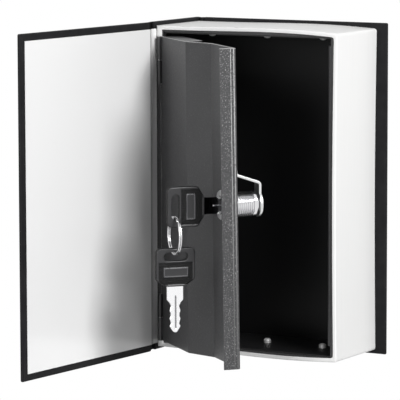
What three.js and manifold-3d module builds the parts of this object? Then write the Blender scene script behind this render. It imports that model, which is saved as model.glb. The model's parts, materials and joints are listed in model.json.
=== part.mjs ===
// A book that hides a small steel safe: a hard cover opens on a cloth joint, and behind it a hinged
// steel door with a key lock closes a box that sits inside a hollow block made to look like pages.
// Lengths are in millimetres. +Z is up, the book stands on the lower edges of its covers, the closed
// book's front faces -Y and its spine faces -X.
// The drawing frame below has x = 0 just outside the block's spine side, y = 0 at the block's front and
// z = 0 under the covers. One group moves all of it to the part's origin, the middle of the back
// cover's lower edge.

import * as THREE from "three";
import { mergeVertices } from "three/addons/utils/BufferGeometryUtils.js";
import Module from "manifold-3d";

const wasm = await Module();
wasm.setup();

// Covers, spine and cloth
const coverHeight = 240;
const coverReach = 151.5; // one cover board with its cloth, from the joint to the fore-edge
const jointWidth = 7.5; // cloth joint between the spine and a cover
const clothThickness = 0.4;
const boardThickness = 1.75;
const paperThickness = 0.2;
const glueGap = 0.1; // between two glued layers
const turnIn = 15; // width of the cloth folded onto the inner face
const paperMargin = 5.1; // cloth left showing round the endpaper
const backPaperMargin = 9.5; // at the back cover's fore-edge, where the endpaper ends under the block
const jointGap = 0.4; // free cloth at each side of a fold line
const foldGap = 0.3; // free cloth between the front fold line and its strip
const spineReach = 3; // how far the spine's outer face stands behind x = 0
const foldLift = 2.6; // the front fold line stands this far in front of the page block
const spineShort = 0.6; // the spine stops this far from the front fold line
const coverAngle = 94.6; // opened from closed, degrees
const foldAngle = 75; // the front joint's strip, opened from closed, degrees

// Page block, a hollow shell
const blockDepth = 61;
const blockSpineX = 0.6;
const blockForeX = 148;
const blockWall = 2.85;
const blockSpineWall = 4.6;
const headSquareSpine = 2.9; // the covers stand this far past the block's head
const headSquareFore = 4.15;
const tailAtSpine = 2.4;
const tailAtFore = 2.9;
const edgeBulge = 1.5; // the trimmed head and tail arch outwards
const bulgeSkewShare = 1.7; // moves the crest of the arch towards the fore-edge
const foreHollow = 1; // the fore-edge curves inwards
const blockCorner = 2.2;
const edgeSteps = 18;

// Steel box and its front frame
const boxSheet = 0.8;
const boxGap = 0.3; // to the page shell and to the frame's flange
const boxFront = 1.5;
const boxBackGap = 0.3;
const frameFront = 0.3;
const frameSheet = 1;
const frameGap = 0.3; // all round, to the page shell
const hingeFlangeDepth = 12;
const hingeFlangeGap = 0.5; // from the page shell's spine wall

// Strike channel inside the fore-edge wall
const strikeTailGap = 7.15; // from the box's floor
const strikeHeadGap = 4.9;
const strikeReach = 3.15; // the lip stands this far in from the box's wall
const strikeDepth = 14.6;
const strikeWallDepth = 12.4;
const seatGap = 0.1;

// Rivets that hold the box in the page shell
const rivetSpacing = 45.5;
const rivetHeadRadius = 2.3;
const rivetHeadHeight = 2.4;
const rivetRadius = 1.2;
const rivetHoleRadius = 1.45;
const rivetBite = 1.6; // length held in the page shell
const rivetCount = 3;

// Hinge
const hingeY = -2.2;
const hingeOutset = 1.3; // the axis stands this far outside the frame's flange
const hingeTabLift = 0.6; // the frame's hinge tab lies this far behind the axis
const knuckleRadius = 1.7;
const pinRadius = 0.95;
const pinClearance = 0.1;
const knuckleLength = 17;
const knuckleGap = 0.3;
const hingeRelief = 0.4; // cut round the neighbour's knuckle
const notchGap = 0.5; // from the frame's flange to the door's leaf

// Door, drawn along its own reach r and its inward depth n, both from the hinge axis
const doorAngle = 40.8; // opened from closed, degrees
const doorSheet = 1;
const doorReach = 133;
const doorTailGap = 0.55; // from the box's floor
const doorHeadGap = 2.3;
const doorOuterDepth = 1;
const doorFloorDepth = 12.2; // outer face of the sunk floor
const creaseR = 58.2; // the flat hinge side ends here
const floorR = 81.5; // the sunk floor starts here
const doorStart = 0.3;
const flangeDepth = 14;
const flangeStartR = 4.3;
const ridgeRadius = 0.7;
const ridgeStand = 0.35; // a ridge stands this far out of the free wall
const ridgeDepths = [8.8, 11.1];

// Lock
const lockR = 103.7;
const lockHeight = 118.5;
const bezelRadius = 11;
const bezelThickness = 2.5;
const bezelRound = 0.6;
const barrelRadius = 8.9;
const barrelFlat = 7.1; // half the width across the two flats
const barrelEndDepth = 35.3;
const plugRadius = 6;
const plugProud = 1.3; // the plug stands this far out of the barrel's end
const plugClearance = 0.3;
const barrelHoleClearance = 0.3;
const nutAcrossFlats = 22;
const nutThickness = 4;
const nutClearance = 0.3;
const keywayWidth = 2.6;
const keywayHeight = 8.6;
const keywayEndDepth = 31.5;
const tangSide = 5.6;
const tangEndDepth = 38.6;
const tangBoreRadius = 2;
const tangBoreDepth = 6.4;
const waferCount = 5;
const waferFirstDepth = 14;
const waferSpacing = 3;
const waferThickness = 0.9;
const waferWidth = 6;
const waferHeight = 9.1;
const waferWindowWidth = 2.9;
const waferWindowHeight = 7.4;
const waferClearance = 0.25;

// Cam and its screw
const camThickness = 1.9;
const camWidth = 10;
const camHubRadius = 9.2;
const camSeatGap = 0.3;
const camBendHeight = 15;
const camStepHeight = 21;
const camReach = 32.9;
const camTabDepth = 20.2;
const camHoleClearance = 0.25;
const screwHeadRadius = 4;
const screwHeadHeight = 0.9;
const screwRadius = 1.7;
const screwLength = 6;

// Keys, drawn along a from the bow's outer end and across b
const bowLength = 26.8;
const bowHalfWidth = 14.15;
const bowThickness = 5;
const bowSlotWidth = 6;
const bowSlotLength = 17.5;
const bowSlotStart = 2.7;
const bowCorner = 4;
const bowNeckHalf = 6.6;
const bowEdgeRound = 1.2;
const keyMetal = 2.1;
const keySocket = 8.2; // metal held inside the bow
const keySocketClearance = 0.25;
const shankLength = 11.6;
const shankHalf = 5.45;
const bladeLength = 20.5;
const bladeHalf = 3.4;
const bladeCut = 0.75;
const bladeCutCount = 5;
const tipLength = 4;
const tipHalf = 1;
const keyStandOff = 0.3; // shoulder to bezel

// Key ring
const ringInnerRadius = 11.9;
const ringRadial = 1.7;
const ringWidth = 2.4;
const ringTopClearance = 0.3;
const ringLowClearance = 0.55;

// Shared
const overrun = 2; // how far a cutting shape runs past what it cuts
const roundSegments = 40;
const smallSegments = 20;
const degree = Math.PI / 180;

// Worked-out sizes
const coverThickness = 2 * clothThickness + boardThickness + 2 * glueGap + paperThickness + glueGap / 2;
const backInnerY = blockDepth + glueGap;
const backOuterY = backInnerY + coverThickness;
const spineWidth = foldLift - spineShort + backOuterY + jointGap;
const backHingeX = jointWidth - spineReach;
const boxBack = blockDepth - boxBackGap;
const headAtSpine = coverHeight - headSquareSpine;
const headAtFore = coverHeight - headSquareFore;
const hingeFlangeX = blockSpineX + blockSpineWall + hingeFlangeGap;
const hingeX = hingeFlangeX - hingeOutset;
const notchR = hingeOutset + frameSheet + notchGap; // the door's leaf stops here beside the frame's knuckles
const boxSpineX = hingeFlangeX + frameSheet + boxGap;
const boxForeX = blockForeX - foreHollow - blockWall - boxGap;
const boxTail = tailAtFore + blockWall + boxGap;
const boxHead = headAtFore - blockWall - boxGap;
const windowSpineX = boxSpineX + boxSheet;
const windowForeX = boxForeX - boxSheet;
const windowTail = boxTail + boxSheet;
const windowHead = boxHead - boxSheet;
const strikeTail = windowTail + strikeTailGap;
const strikeHead = windowHead - strikeHeadGap;
const strikeInnerX = windowForeX - strikeReach;
const doorTail = windowTail + doorTailGap;
const doorHead = windowHead - doorHeadGap;
const boreRadius = pinRadius + pinClearance;
const bezelFaceDepth = doorFloorDepth - bezelThickness;
const plugEndDepth = barrelEndDepth + plugProud;
const keyStartDepth = bezelFaceDepth - keyStandOff - shankLength - bowLength;
const ringDepth = keyStartDepth + bowSlotStart + bowSlotWidth / 2;
const barHeight = bowHalfWidth - bowSlotLength / 2;
const barCentre = bowHalfWidth - barHeight / 2; // below the lock axis
const barReach =
  Math.hypot(bowThickness / 2 - bowEdgeRound, barHeight / 2 - bowEdgeRound) + bowEdgeRound;
const ringTop = barReach + ringTopClearance; // above the bar's centre
const ringCentre = -barCentre + ringTop - ringInnerRadius; // from the lock axis
const spareTop = ringCentre - ringInnerRadius + ringLowClearance + bowSlotStart;

// Finishes
const finish = (color, roughness, metalness) => () =>
  new THREE.MeshStandardMaterial({ color, roughness, metalness });
const blackCloth = finish(0x2f2f30, 0.75, 0);
const greyBoard = finish(0x8d8679, 0.9, 0);
const whitePaper = finish(0xf2f2f1, 0.5, 0);
const whiteBlock = finish(0xeeeeec, 0.45, 0);
const blackEnamel = finish(0x0e0e0f, 0.45, 0.3);
const greyEnamel = finish(0x4b4b4d, 0.5, 0.4);
const nickel = finish(0xc9c9cb, 0.25, 1);
const zinc = finish(0xd6d6d4, 0.35, 1);
const brass = finish(0xb59a54, 0.35, 1);
const blackPlastic = finish(0x1d1d1f, 0.4, 0);

// Solids

// The volume inside a closed mesh, negative where its faces point inwards.
function signedVolume(geometry) {
  const position = geometry.getAttribute("position");
  const a = new THREE.Vector3();
  const b = new THREE.Vector3();
  const c = new THREE.Vector3();
  let volume = 0;
  for (let i = 0; i < geometry.index.count; i += 3) {
    a.fromBufferAttribute(position, geometry.index.getX(i));
    b.fromBufferAttribute(position, geometry.index.getX(i + 1));
    c.fromBufferAttribute(position, geometry.index.getX(i + 2));
    volume += a.dot(b.cross(c)) / 6;
  }
  return volume;
}

// A geometry with shared vertices and its faces pointing out.
function closed(geometry) {
  const bare = geometry.clone();
  bare.deleteAttribute("normal");
  bare.deleteAttribute("uv");
  const merged = mergeVertices(bare, 1e-4);
  if (signedVolume(merged) < 0) merged.index.array.reverse();
  return merged;
}

function toSolid(geometry) {
  const merged = closed(geometry);
  return new wasm.Manifold(
    new wasm.Mesh({
      numProp: 3,
      vertProperties: merged.getAttribute("position").array,
      triVerts: new Uint32Array(merged.index.array),
    }),
  );
}

function toGeometry(solid) {
  const mesh = solid.getMesh();
  const geometry = new THREE.BufferGeometry();
  geometry.setAttribute("position", new THREE.BufferAttribute(mesh.vertProperties, 3));
  geometry.setIndex(new THREE.BufferAttribute(mesh.triVerts, 1));
  return geometry;
}

const cut = (body, ...tools) =>
  toGeometry(tools.reduce((left, tool) => left.subtract(toSolid(tool)), toSolid(body)));
const join = (body, ...others) =>
  toGeometry(others.reduce((sum, other) => sum.add(toSolid(other)), toSolid(body)));
const common = (body, other) => toGeometry(toSolid(body).intersect(toSolid(other)));

// A block between two corners.
function block([x0, y0, z0], [x1, y1, z1]) {
  const geometry = new THREE.BoxGeometry(x1 - x0, y1 - y0, z1 - z0);
  return geometry.translate((x0 + x1) / 2, (y0 + y1) / 2, (z0 + z1) / 2);
}

// An upright round bar about the point (x, y).
function upright(radius, x, y, z0, z1, segments = smallSegments) {
  const geometry = new THREE.CylinderGeometry(radius, radius, z1 - z0, segments);
  return geometry.rotateX(Math.PI / 2).translate(x, y, (z0 + z1) / 2);
}

// A round bar along +Y from y0 to y1, about the Y axis.
function along(radius, y0, y1, segments = roundSegments) {
  return new THREE.CylinderGeometry(radius, radius, y1 - y0, segments).translate(0, (y0 + y1) / 2, 0);
}

// An outline in x and y, raised along +Z from z0 to z1.
function raised(shape, z0, z1) {
  const options = { depth: z1 - z0, bevelEnabled: false, curveSegments: 6 };
  return new THREE.ExtrudeGeometry(shape, options).translate(0, 0, z0);
}

// An outline in x and z, carried along +Y from y0 to y1.
function carried(shape, y0, y1) {
  const options = { depth: y1 - y0, bevelEnabled: false, curveSegments: 6 };
  return new THREE.ExtrudeGeometry(shape, options).rotateX(Math.PI / 2).translate(0, y1, 0);
}

// The outline of a sheet of the given thickness whose middle runs through the points.
function sheetOutline(points, thickness) {
  const sides = [[], []];
  points.forEach((point, i) => {
    const before = points[Math.max(i - 1, 0)];
    const after = points[Math.min(i + 1, points.length - 1)];
    const into = new THREE.Vector2(point[0] - before[0], point[1] - before[1]).normalize();
    const out = new THREE.Vector2(after[0] - point[0], after[1] - point[1]).normalize();
    if (i === 0) into.copy(out);
    if (i === points.length - 1) out.copy(into);
    const mitre = into.clone().add(out).normalize();
    const normal = new THREE.Vector2(-mitre.y, mitre.x);
    const half = thickness / 2 / mitre.dot(into);
    sides[0].push(new THREE.Vector2(point[0] + normal.x * half, point[1] + normal.y * half));
    sides[1].unshift(new THREE.Vector2(point[0] - normal.x * half, point[1] - normal.y * half));
  });
  return new THREE.Shape([...sides[0], ...sides[1]]);
}

function piece(parent, name, geometry, material) {
  const mesh = new THREE.Mesh(closed(geometry), material());
  mesh.name = name;
  parent.add(mesh);
  return mesh;
}

// Covers

// Cloth round a board: the outer face, the folded edges and the turn-ins. The hinge side stays open,
// and foreFold says whether the far side is folded too.
function clothWrap(width, foreFold) {
  const turnInTop = coverThickness - paperThickness - glueGap / 2;
  const boardTop = turnInTop - clothThickness;
  const far = foreFold ? width - clothThickness : width + overrun;
  const windowFar = foreFold ? width - turnIn : width + overrun;
  const whole = block([jointGap, 0, 0], [width, turnInTop, coverHeight]);
  const boardSpace = block(
    [-overrun, clothThickness, clothThickness],
    [far, boardTop, coverHeight - clothThickness],
  );
  const opening = block(
    [-overrun, clothThickness, turnIn],
    [windowFar, turnInTop + overrun, coverHeight - turnIn],
  );
  return cut(whole, boardSpace, opening);
}

function boardCore(width, foreFold) {
  const inset = clothThickness + glueGap;
  const far = foreFold ? width - inset : width;
  return block([jointGap, inset, inset], [far, inset + boardThickness, coverHeight - inset]);
}

function endpaper(width, foreMargin) {
  const top = coverThickness;
  return block(
    [jointGap, top - paperThickness, paperMargin],
    [width - foreMargin, top, coverHeight - paperMargin],
  );
}

function hardCover(parent, prefix, foreMargin) {
  piece(parent, `${prefix}_board`, boardCore(coverReach, true), greyBoard);
  piece(parent, `${prefix}_cover_cloth`, clothWrap(coverReach, true), blackCloth);
  piece(parent, `${prefix}_endpaper`, endpaper(coverReach, foreMargin), whitePaper);
}

function backCover(book) {
  const cover = new THREE.Group();
  cover.rotation.x = Math.PI;
  cover.position.set(backHingeX, backOuterY, coverHeight);
  book.add(cover);
  hardCover(cover, "back", backPaperMargin);
}

function spine(book) {
  const group = new THREE.Group();
  group.rotation.z = -Math.PI / 2;
  group.position.set(-spineReach, backOuterY + jointGap, 0);
  book.add(group);
  piece(group, "spine_board", boardCore(spineWidth, false), greyBoard);
  piece(group, "spine_cloth", clothWrap(spineWidth, false), blackCloth);
}

// The rear joint dips from the spine to the block's back and rises to the board.
function rearJoint(book) {
  const high = backOuterY - clothThickness / 2;
  const low = backInnerY + clothThickness / 2 + glueGap;
  const start = -spineReach + glueGap + coverThickness;
  const end = backHingeX - glueGap;
  const dipStartShare = 0.3;
  const dipEndShare = 0.75;
  const at = (share) => start + (end - start) * share;
  const points = [
    [start, high],
    [at(dipStartShare), low],
    [at(dipEndShare), low],
    [end, high],
  ];
  const strip = raised(sheetOutline(points, clothThickness), 0, coverHeight);
  piece(book, "rear_joint_cloth", strip, blackCloth);
}

function frontCover(book) {
  const fold = new THREE.Group();
  fold.position.set(-spineReach, -foldLift, 0);
  fold.rotation.z = -foldAngle * degree;
  book.add(fold);
  const stripStart = foldGap;
  const stripEnd = jointWidth - jointGap;
  const paperLow = clothThickness + glueGap;
  piece(
    fold,
    "front_joint_cloth",
    block([stripStart, 0, 0], [stripEnd, clothThickness, coverHeight]),
    blackCloth,
  );
  piece(
    fold,
    "front_joint_paper",
    block(
      [stripStart, paperLow, paperMargin],
      [stripEnd, paperLow + paperThickness, coverHeight - paperMargin],
    ),
    whitePaper,
  );
  const cover = new THREE.Group();
  cover.position.set(jointWidth, 0, 0);
  cover.rotation.z = -(coverAngle - foldAngle) * degree;
  fold.add(cover);
  hardCover(cover, "front", paperMargin);
}

// Page block

// The block's outline in x and z, drawn in by an inset that may differ on the spine side.
function pageOutline(inset, spineInset) {
  const left = blockSpineX + spineInset;
  const right = blockForeX - inset;
  const rise = (share) => edgeBulge * Math.sin(Math.PI * Math.pow(share, bulgeSkewShare));
  const head = (share) => headAtSpine + (headAtFore - headAtSpine) * share + rise(share) - inset;
  const tail = (share) => tailAtSpine + (tailAtFore - tailAtSpine) * share - rise(share) + inset;
  const low = tail(1);
  const high = head(1);
  const hollow = (share) => right - foreHollow * Math.sin(Math.PI * share);
  const cornerShare = blockCorner / (right - left);
  const foreCornerShare = blockCorner / (high - low);
  const shape = new THREE.Shape();
  shape.moveTo(left, tail(0));
  for (let i = 1; i <= edgeSteps; i++) {
    const share = ((1 - cornerShare) * i) / edgeSteps;
    shape.lineTo(left + (right - left) * share, tail(share));
  }
  shape.quadraticCurveTo(right, low, hollow(foreCornerShare), low + blockCorner);
  for (let i = 1; i <= edgeSteps; i++) {
    const share = foreCornerShare + ((1 - 2 * foreCornerShare) * i) / edgeSteps;
    shape.lineTo(hollow(share), low + (high - low) * share);
  }
  shape.quadraticCurveTo(right, high, left + (right - left) * (1 - cornerShare), head(1 - cornerShare));
  for (let i = edgeSteps - 1; i >= 0; i--) {
    const share = ((1 - cornerShare) * i) / edgeSteps;
    shape.lineTo(left + (right - left) * share, head(share));
  }
  shape.closePath();
  return shape;
}

const rivetX = (i) => (boxSpineX + boxForeX) / 2 - (rivetSpacing * (rivetCount - 1)) / 2 + rivetSpacing * i;
const rivetY = blockDepth / 2;

// The rivets' clear holes through the box and part way into the shell, one bar from each sheet.
function rivetHoles(radius, extra) {
  const holes = [];
  for (let i = 0; i < rivetCount; i++) {
    const high = shellInside(rivetX(i), 1);
    const low = shellInside(rivetX(i), -1);
    holes.push(upright(radius, rivetX(i), rivetY, windowHead - overrun, high + rivetBite + extra));
    holes.push(upright(radius, rivetX(i), rivetY, low - rivetBite - extra, windowTail + overrun));
  }
  return holes;
}

// The height of the shell's inner face over x, on the head side (1) or the tail side (-1).
function shellInside(x, side) {
  const share = (x - blockSpineX - blockSpineWall) / (blockForeX - blockWall - blockSpineX - blockSpineWall);
  const rise = edgeBulge * Math.sin(Math.PI * Math.pow(share, bulgeSkewShare));
  return side > 0
    ? headAtSpine + (headAtFore - headAtSpine) * share + rise - blockWall
    : tailAtSpine + (tailAtFore - tailAtSpine) * share - rise + blockWall;
}

function pageShell(book) {
  const outside = carried(pageOutline(0, 0), 0, blockDepth);
  const inside = carried(pageOutline(blockWall, blockSpineWall), -overrun, blockDepth + overrun);
  piece(book, "page_shell", cut(outside, inside, ...rivetHoles(rivetHoleRadius, seatGap)), whiteBlock);
}

// Steel box

function steelBox(book) {
  const outside = block([boxSpineX, boxFront, boxTail], [boxForeX, boxBack, boxHead]);
  const inside = block(
    [windowSpineX, boxFront - overrun, windowTail],
    [windowForeX, boxBack - boxSheet, windowHead],
  );
  piece(book, "steel_box", cut(outside, inside, ...rivetHoles(rivetHoleRadius, 0)), blackEnamel);
}

function boxRivets(book) {
  const dome = (radius, height) => {
    const steps = 5;
    const points = [new THREE.Vector2(0, height)];
    for (let i = 1; i <= steps; i++) {
      const angle = (Math.PI / 2) * (i / steps);
      points.push(new THREE.Vector2(radius * Math.sin(angle), height * Math.cos(angle)));
    }
    return points;
  };
  for (let i = 0; i < rivetCount; i++) {
    for (const side of [1, -1]) {
      const seat = side > 0 ? windowHead : windowTail;
      const reach = Math.abs(shellInside(rivetX(i), side) - seat) + rivetBite;
      const profile = [
        ...dome(rivetHeadRadius, rivetHeadHeight),
        new THREE.Vector2(rivetRadius, 0),
        new THREE.Vector2(rivetRadius, -reach),
        new THREE.Vector2(0, -reach),
      ];
      const rivet = new THREE.LatheGeometry(profile, smallSegments).rotateX((side * -Math.PI) / 2);
      rivet.translate(rivetX(i), rivetY, seat - side * seatGap);
      piece(book, `box_rivet_${side > 0 ? "top" : "bottom"}_${i + 1}`, rivet, blackEnamel);
    }
  }
}

const knuckleSpans = {
  door: [
    [doorHead - knuckleLength, doorHead],
    [doorTail, doorTail + knuckleLength],
  ],
  box: [
    [doorHead - 2 * knuckleLength - knuckleGap, doorHead - knuckleLength - knuckleGap],
    [doorTail + knuckleLength + knuckleGap, doorTail + 2 * knuckleLength + knuckleGap],
  ],
};

function frontFrame(book) {
  const frameBack = frameFront + frameSheet;
  const flangeEndX = hingeFlangeX + frameSheet;
  const plate = carried(pageOutline(blockWall + frameGap, blockSpineWall + frameGap), frameFront, frameBack);
  const window = block(
    [flangeEndX, frameFront - overrun, windowTail],
    [windowForeX, frameBack + overrun, windowHead],
  );
  const flange = block([hingeFlangeX, frameBack - seatGap, boxTail], [flangeEndX, hingeFlangeDepth, boxHead]);
  const tabFront = hingeY + hingeTabLift;
  const knuckles = knuckleSpans.box.flatMap(([low, high]) => [
    upright(knuckleRadius, hingeX, hingeY, low, high),
    block([hingeX, tabFront, low], [flangeEndX, tabFront + frameSheet, high]),
    block([hingeFlangeX, tabFront, low], [flangeEndX, frameBack, high]),
  ]);
  const bore = upright(boreRadius, hingeX, hingeY, boxTail, boxHead);
  piece(book, "front_frame", cut(join(cut(plate, window), flange, ...knuckles), bore), greyEnamel);
}

function strikeChannel(book) {
  const far = windowForeX - seatGap;
  const back = boxFront + strikeDepth;
  const outside = block([strikeInnerX, boxFront, strikeTail], [far, back, strikeHead]);
  const hollow = block(
    [strikeInnerX + frameSheet, boxFront + frameSheet, strikeTail - overrun],
    [far - boxSheet, back + overrun, strikeHead + overrun],
  );
  const wallEnd = block(
    [strikeInnerX + frameSheet, boxFront + strikeWallDepth, strikeTail - overrun],
    [far + overrun, back + overrun, strikeHead + overrun],
  );
  piece(book, "strike_channel", cut(outside, hollow, wallEnd), greyEnamel);
}

function hingePins(book) {
  const spans = {
    hinge_pin_top: [knuckleSpans.box[0][0], knuckleSpans.door[0][1]],
    hinge_pin_bottom: [knuckleSpans.door[1][0], knuckleSpans.box[1][1]],
  };
  for (const [name, [low, high]] of Object.entries(spans)) {
    piece(book, name, upright(pinRadius, hingeX, hingeY, low, high, smallSegments), zinc);
  }
}

// Door

function doorPanel(door) {
  const outerMid = doorOuterDepth + doorSheet / 2;
  const floorMid = doorFloorDepth + doorSheet / 2;
  const wallMid = doorReach - doorSheet / 2;
  const sheet = raised(
    sheetOutline(
      [
        [doorStart, outerMid],
        [creaseR, outerMid],
        [floorR, floorMid],
        [wallMid, floorMid],
        [wallMid, doorOuterDepth],
      ],
      doorSheet,
    ),
    doorTail,
    doorHead,
  );
  const flange = (low) =>
    block(
      [flangeStartR, doorOuterDepth + doorSheet / 2, low],
      [creaseR, doorOuterDepth + flangeDepth, low + doorSheet],
    );
  const ridges = ridgeDepths.map((n) =>
    upright(ridgeRadius, doorReach - ridgeRadius + ridgeStand, n, doorTail, doorHead, smallSegments),
  );
  const knuckles = knuckleSpans.door.map(([low, high]) => upright(knuckleRadius, 0, 0, low, high));
  const bare = join(sheet, flange(doorTail), flange(doorHead - doorSheet), ...ridges, ...knuckles);
  const relief = knuckleSpans.box.flatMap(([low, high]) => [
    upright(knuckleRadius + hingeRelief, 0, 0, low - knuckleGap, high + knuckleGap),
    block(
      [-overrun, doorOuterDepth - overrun, low - knuckleGap],
      [notchR, doorOuterDepth + doorSheet + overrun, high + knuckleGap],
    ),
  ]);
  const bore = upright(boreRadius, 0, 0, boxTail, boxHead);
  const holeRadius = barrelRadius + barrelHoleClearance;
  const lockHole = along(holeRadius, 0, barrelEndDepth).translate(lockR, 0, lockHeight);
  piece(door, "door_panel", cut(bare, ...relief, bore, lockHole), greyEnamel);
}

// Lock, drawn about the lock's axis, which runs along +Y

function lockHousing(lock) {
  const bezelBack = doorFloorDepth - seatGap;
  const profile = [
    new THREE.Vector2(plugRadius + plugClearance, bezelFaceDepth),
    new THREE.Vector2(bezelRadius - bezelRound, bezelFaceDepth),
    new THREE.Vector2(bezelRadius, bezelFaceDepth + bezelRound),
    new THREE.Vector2(bezelRadius, bezelBack),
    new THREE.Vector2(barrelRadius, bezelBack),
    new THREE.Vector2(barrelRadius, barrelEndDepth),
    new THREE.Vector2(plugRadius + plugClearance, barrelEndDepth),
    new THREE.Vector2(plugRadius + plugClearance, bezelFaceDepth),
  ];
  const turned = new THREE.LatheGeometry(profile, roundSegments);
  const flats = [1, -1].map((side) =>
    block(
      [side > 0 ? barrelFlat : -bezelRadius - overrun, bezelBack, -bezelRadius],
      [side > 0 ? bezelRadius + overrun : -barrelFlat, barrelEndDepth + overrun, bezelRadius],
    ),
  );
  piece(lock, "lock_housing", cut(turned, ...flats), nickel);
}

function lockNut(lock) {
  const start = doorFloorDepth + doorSheet + nutClearance;
  const corner = nutAcrossFlats / 2 / Math.cos(Math.PI / 6);
  const hex = along(corner, start, start + nutThickness, 6);
  const hole = along(barrelRadius + nutClearance, start - overrun, start + nutThickness + overrun);
  piece(lock, "lock_nut", cut(hex, hole), zinc);
}

const waferDepth = (i) => waferFirstDepth + waferSpacing * i;

function lockPlug(plug) {
  const body = along(plugRadius, bezelFaceDepth, plugEndDepth);
  const tang = block(
    [-tangSide / 2, plugEndDepth - overrun, -tangSide / 2],
    [tangSide / 2, tangEndDepth, tangSide / 2],
  );
  const keyway = block(
    [-keywayWidth / 2, bezelFaceDepth - overrun, -keywayHeight / 2],
    [keywayWidth / 2, keywayEndDepth, keywayHeight / 2],
  );
  const slots = [];
  for (let i = 0; i < waferCount; i++) {
    const half = waferWidth / 2 + waferClearance;
    slots.push(
      block(
        [-half, waferDepth(i) - waferClearance, -plugRadius - overrun],
        [half, waferDepth(i) + waferThickness + waferClearance, plugRadius + overrun],
      ),
    );
  }
  const screwBore = along(tangBoreRadius, tangEndDepth - tangBoreDepth, tangEndDepth + overrun, smallSegments);
  piece(plug, "lock_plug", cut(join(body, tang), keyway, ...slots, screwBore), nickel);
}

function lockWafers(plug) {
  for (let i = 0; i < waferCount; i++) {
    const low = waferDepth(i);
    const high = low + waferThickness;
    const plate = block([-waferWidth / 2, low, -waferHeight / 2], [waferWidth / 2, high, waferHeight / 2]);
    const window = block(
      [-waferWindowWidth / 2, low - overrun, -waferWindowHeight / 2],
      [waferWindowWidth / 2, high + overrun, waferWindowHeight / 2],
    );
    piece(plug, `lock_wafer_${i + 1}`, cut(plate, window), brass);
  }
}

// The cam is a flat bar bent twice: up from its hub, back towards the door, and up again to its tab.
function lockCam(plug) {
  const hubMid = plugEndDepth + camSeatGap + camThickness / 2;
  const bent = sheetOutline(
    [
      [-camHubRadius, hubMid],
      [camBendHeight, hubMid],
      [camStepHeight, camTabDepth],
      [camReach, camTabDepth],
    ],
    camThickness,
  );
  const width = 2 * camHubRadius;
  const side = raised(bent, -width / 2, width / 2);
  side.applyMatrix4(
    new THREE.Matrix4().makeBasis(
      new THREE.Vector3(0, 0, 1),
      new THREE.Vector3(0, 1, 0),
      new THREE.Vector3(-1, 0, 0),
    ),
  );
  const face = new THREE.Shape();
  const spread = Math.asin(camWidth / 2 / camHubRadius);
  face.absarc(0, 0, camHubRadius, Math.PI / 2 + spread, Math.PI / 2 - spread + 2 * Math.PI, false);
  face.lineTo(camWidth / 2, camReach);
  face.lineTo(-camWidth / 2, camReach);
  face.closePath();
  const far = plugEndDepth + 2 * camThickness;
  const front = new THREE.ExtrudeGeometry(face, { depth: far, bevelEnabled: false, curveSegments: 24 });
  front.rotateX(Math.PI / 2).translate(0, far, 0);
  const half = tangSide / 2 + camHoleClearance;
  const hole = block([-half, plugEndDepth - overrun, -half], [half, hubMid + camThickness, half]);
  piece(plug, "lock_cam", cut(common(side, front), hole), zinc);
}

function camScrew(plug) {
  const seat = plugEndDepth + camSeatGap + camThickness + seatGap;
  const steps = 4;
  const profile = [new THREE.Vector2(0, seat + screwHeadHeight)];
  for (let i = 1; i <= steps; i++) {
    const angle = (Math.PI / 2) * (i / steps);
    profile.push(
      new THREE.Vector2(screwHeadRadius * Math.sin(angle), seat + screwHeadHeight * Math.cos(angle)),
    );
  }
  profile.push(new THREE.Vector2(screwRadius, seat));
  profile.push(new THREE.Vector2(screwRadius, seat - screwLength));
  profile.push(new THREE.Vector2(0, seat - screwLength));
  piece(plug, "cam_screw", new THREE.LatheGeometry(profile, smallSegments), zinc);
}

// Keys

// Half of the bow's outline from its outer end to its neck, mirrored for the other half.
function bowShape() {
  const shoulderShare = 0.83;
  const shoulder = bowLength * shoulderShare;
  const shape = new THREE.Shape();
  shape.moveTo(0, -bowHalfWidth + bowCorner);
  shape.quadraticCurveTo(0, -bowHalfWidth, bowCorner, -bowHalfWidth);
  shape.lineTo(shoulder, -bowHalfWidth);
  shape.lineTo(bowLength, -bowNeckHalf);
  shape.lineTo(bowLength, bowNeckHalf);
  shape.lineTo(shoulder, bowHalfWidth);
  shape.lineTo(bowCorner, bowHalfWidth);
  shape.quadraticCurveTo(0, bowHalfWidth, 0, bowHalfWidth - bowCorner);
  shape.closePath();
  const radius = bowSlotWidth / 2;
  const middle = bowSlotStart + radius;
  const straight = bowSlotLength / 2 - radius;
  const slot = new THREE.Path();
  slot.absarc(middle, straight, radius, 0, Math.PI, false);
  slot.absarc(middle, -straight, radius, Math.PI, 2 * Math.PI, false);
  slot.closePath();
  shape.holes.push(slot);
  return shape;
}

// The metal key: the part held in the bow, the shank, and the blade with its cuts and point.
function bladeShape() {
  const start = bowLength - keySocket;
  const shoulder = bowLength + shankLength;
  const tip = shoulder + bladeLength;
  const cuts = [];
  const pitch = (bladeLength - tipLength) / bladeCutCount;
  for (let i = 0; i < bladeCutCount; i++) {
    const at = shoulder + pitch * (i + 1 / 2);
    cuts.push([at - pitch / 4, bladeHalf], [at, bladeHalf - bladeCut], [at + pitch / 4, bladeHalf]);
  }
  const half = [[start, shankHalf], [shoulder, shankHalf], [shoulder, bladeHalf], ...cuts];
  half.push([tip - tipLength, bladeHalf], [tip, tipHalf]);
  const upper = half.map(([a, b]) => new THREE.Vector2(a, b));
  const lower = half.map(([a, b]) => new THREE.Vector2(a, -b)).reverse();
  return new THREE.Shape([...upper, ...lower]);
}

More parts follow.
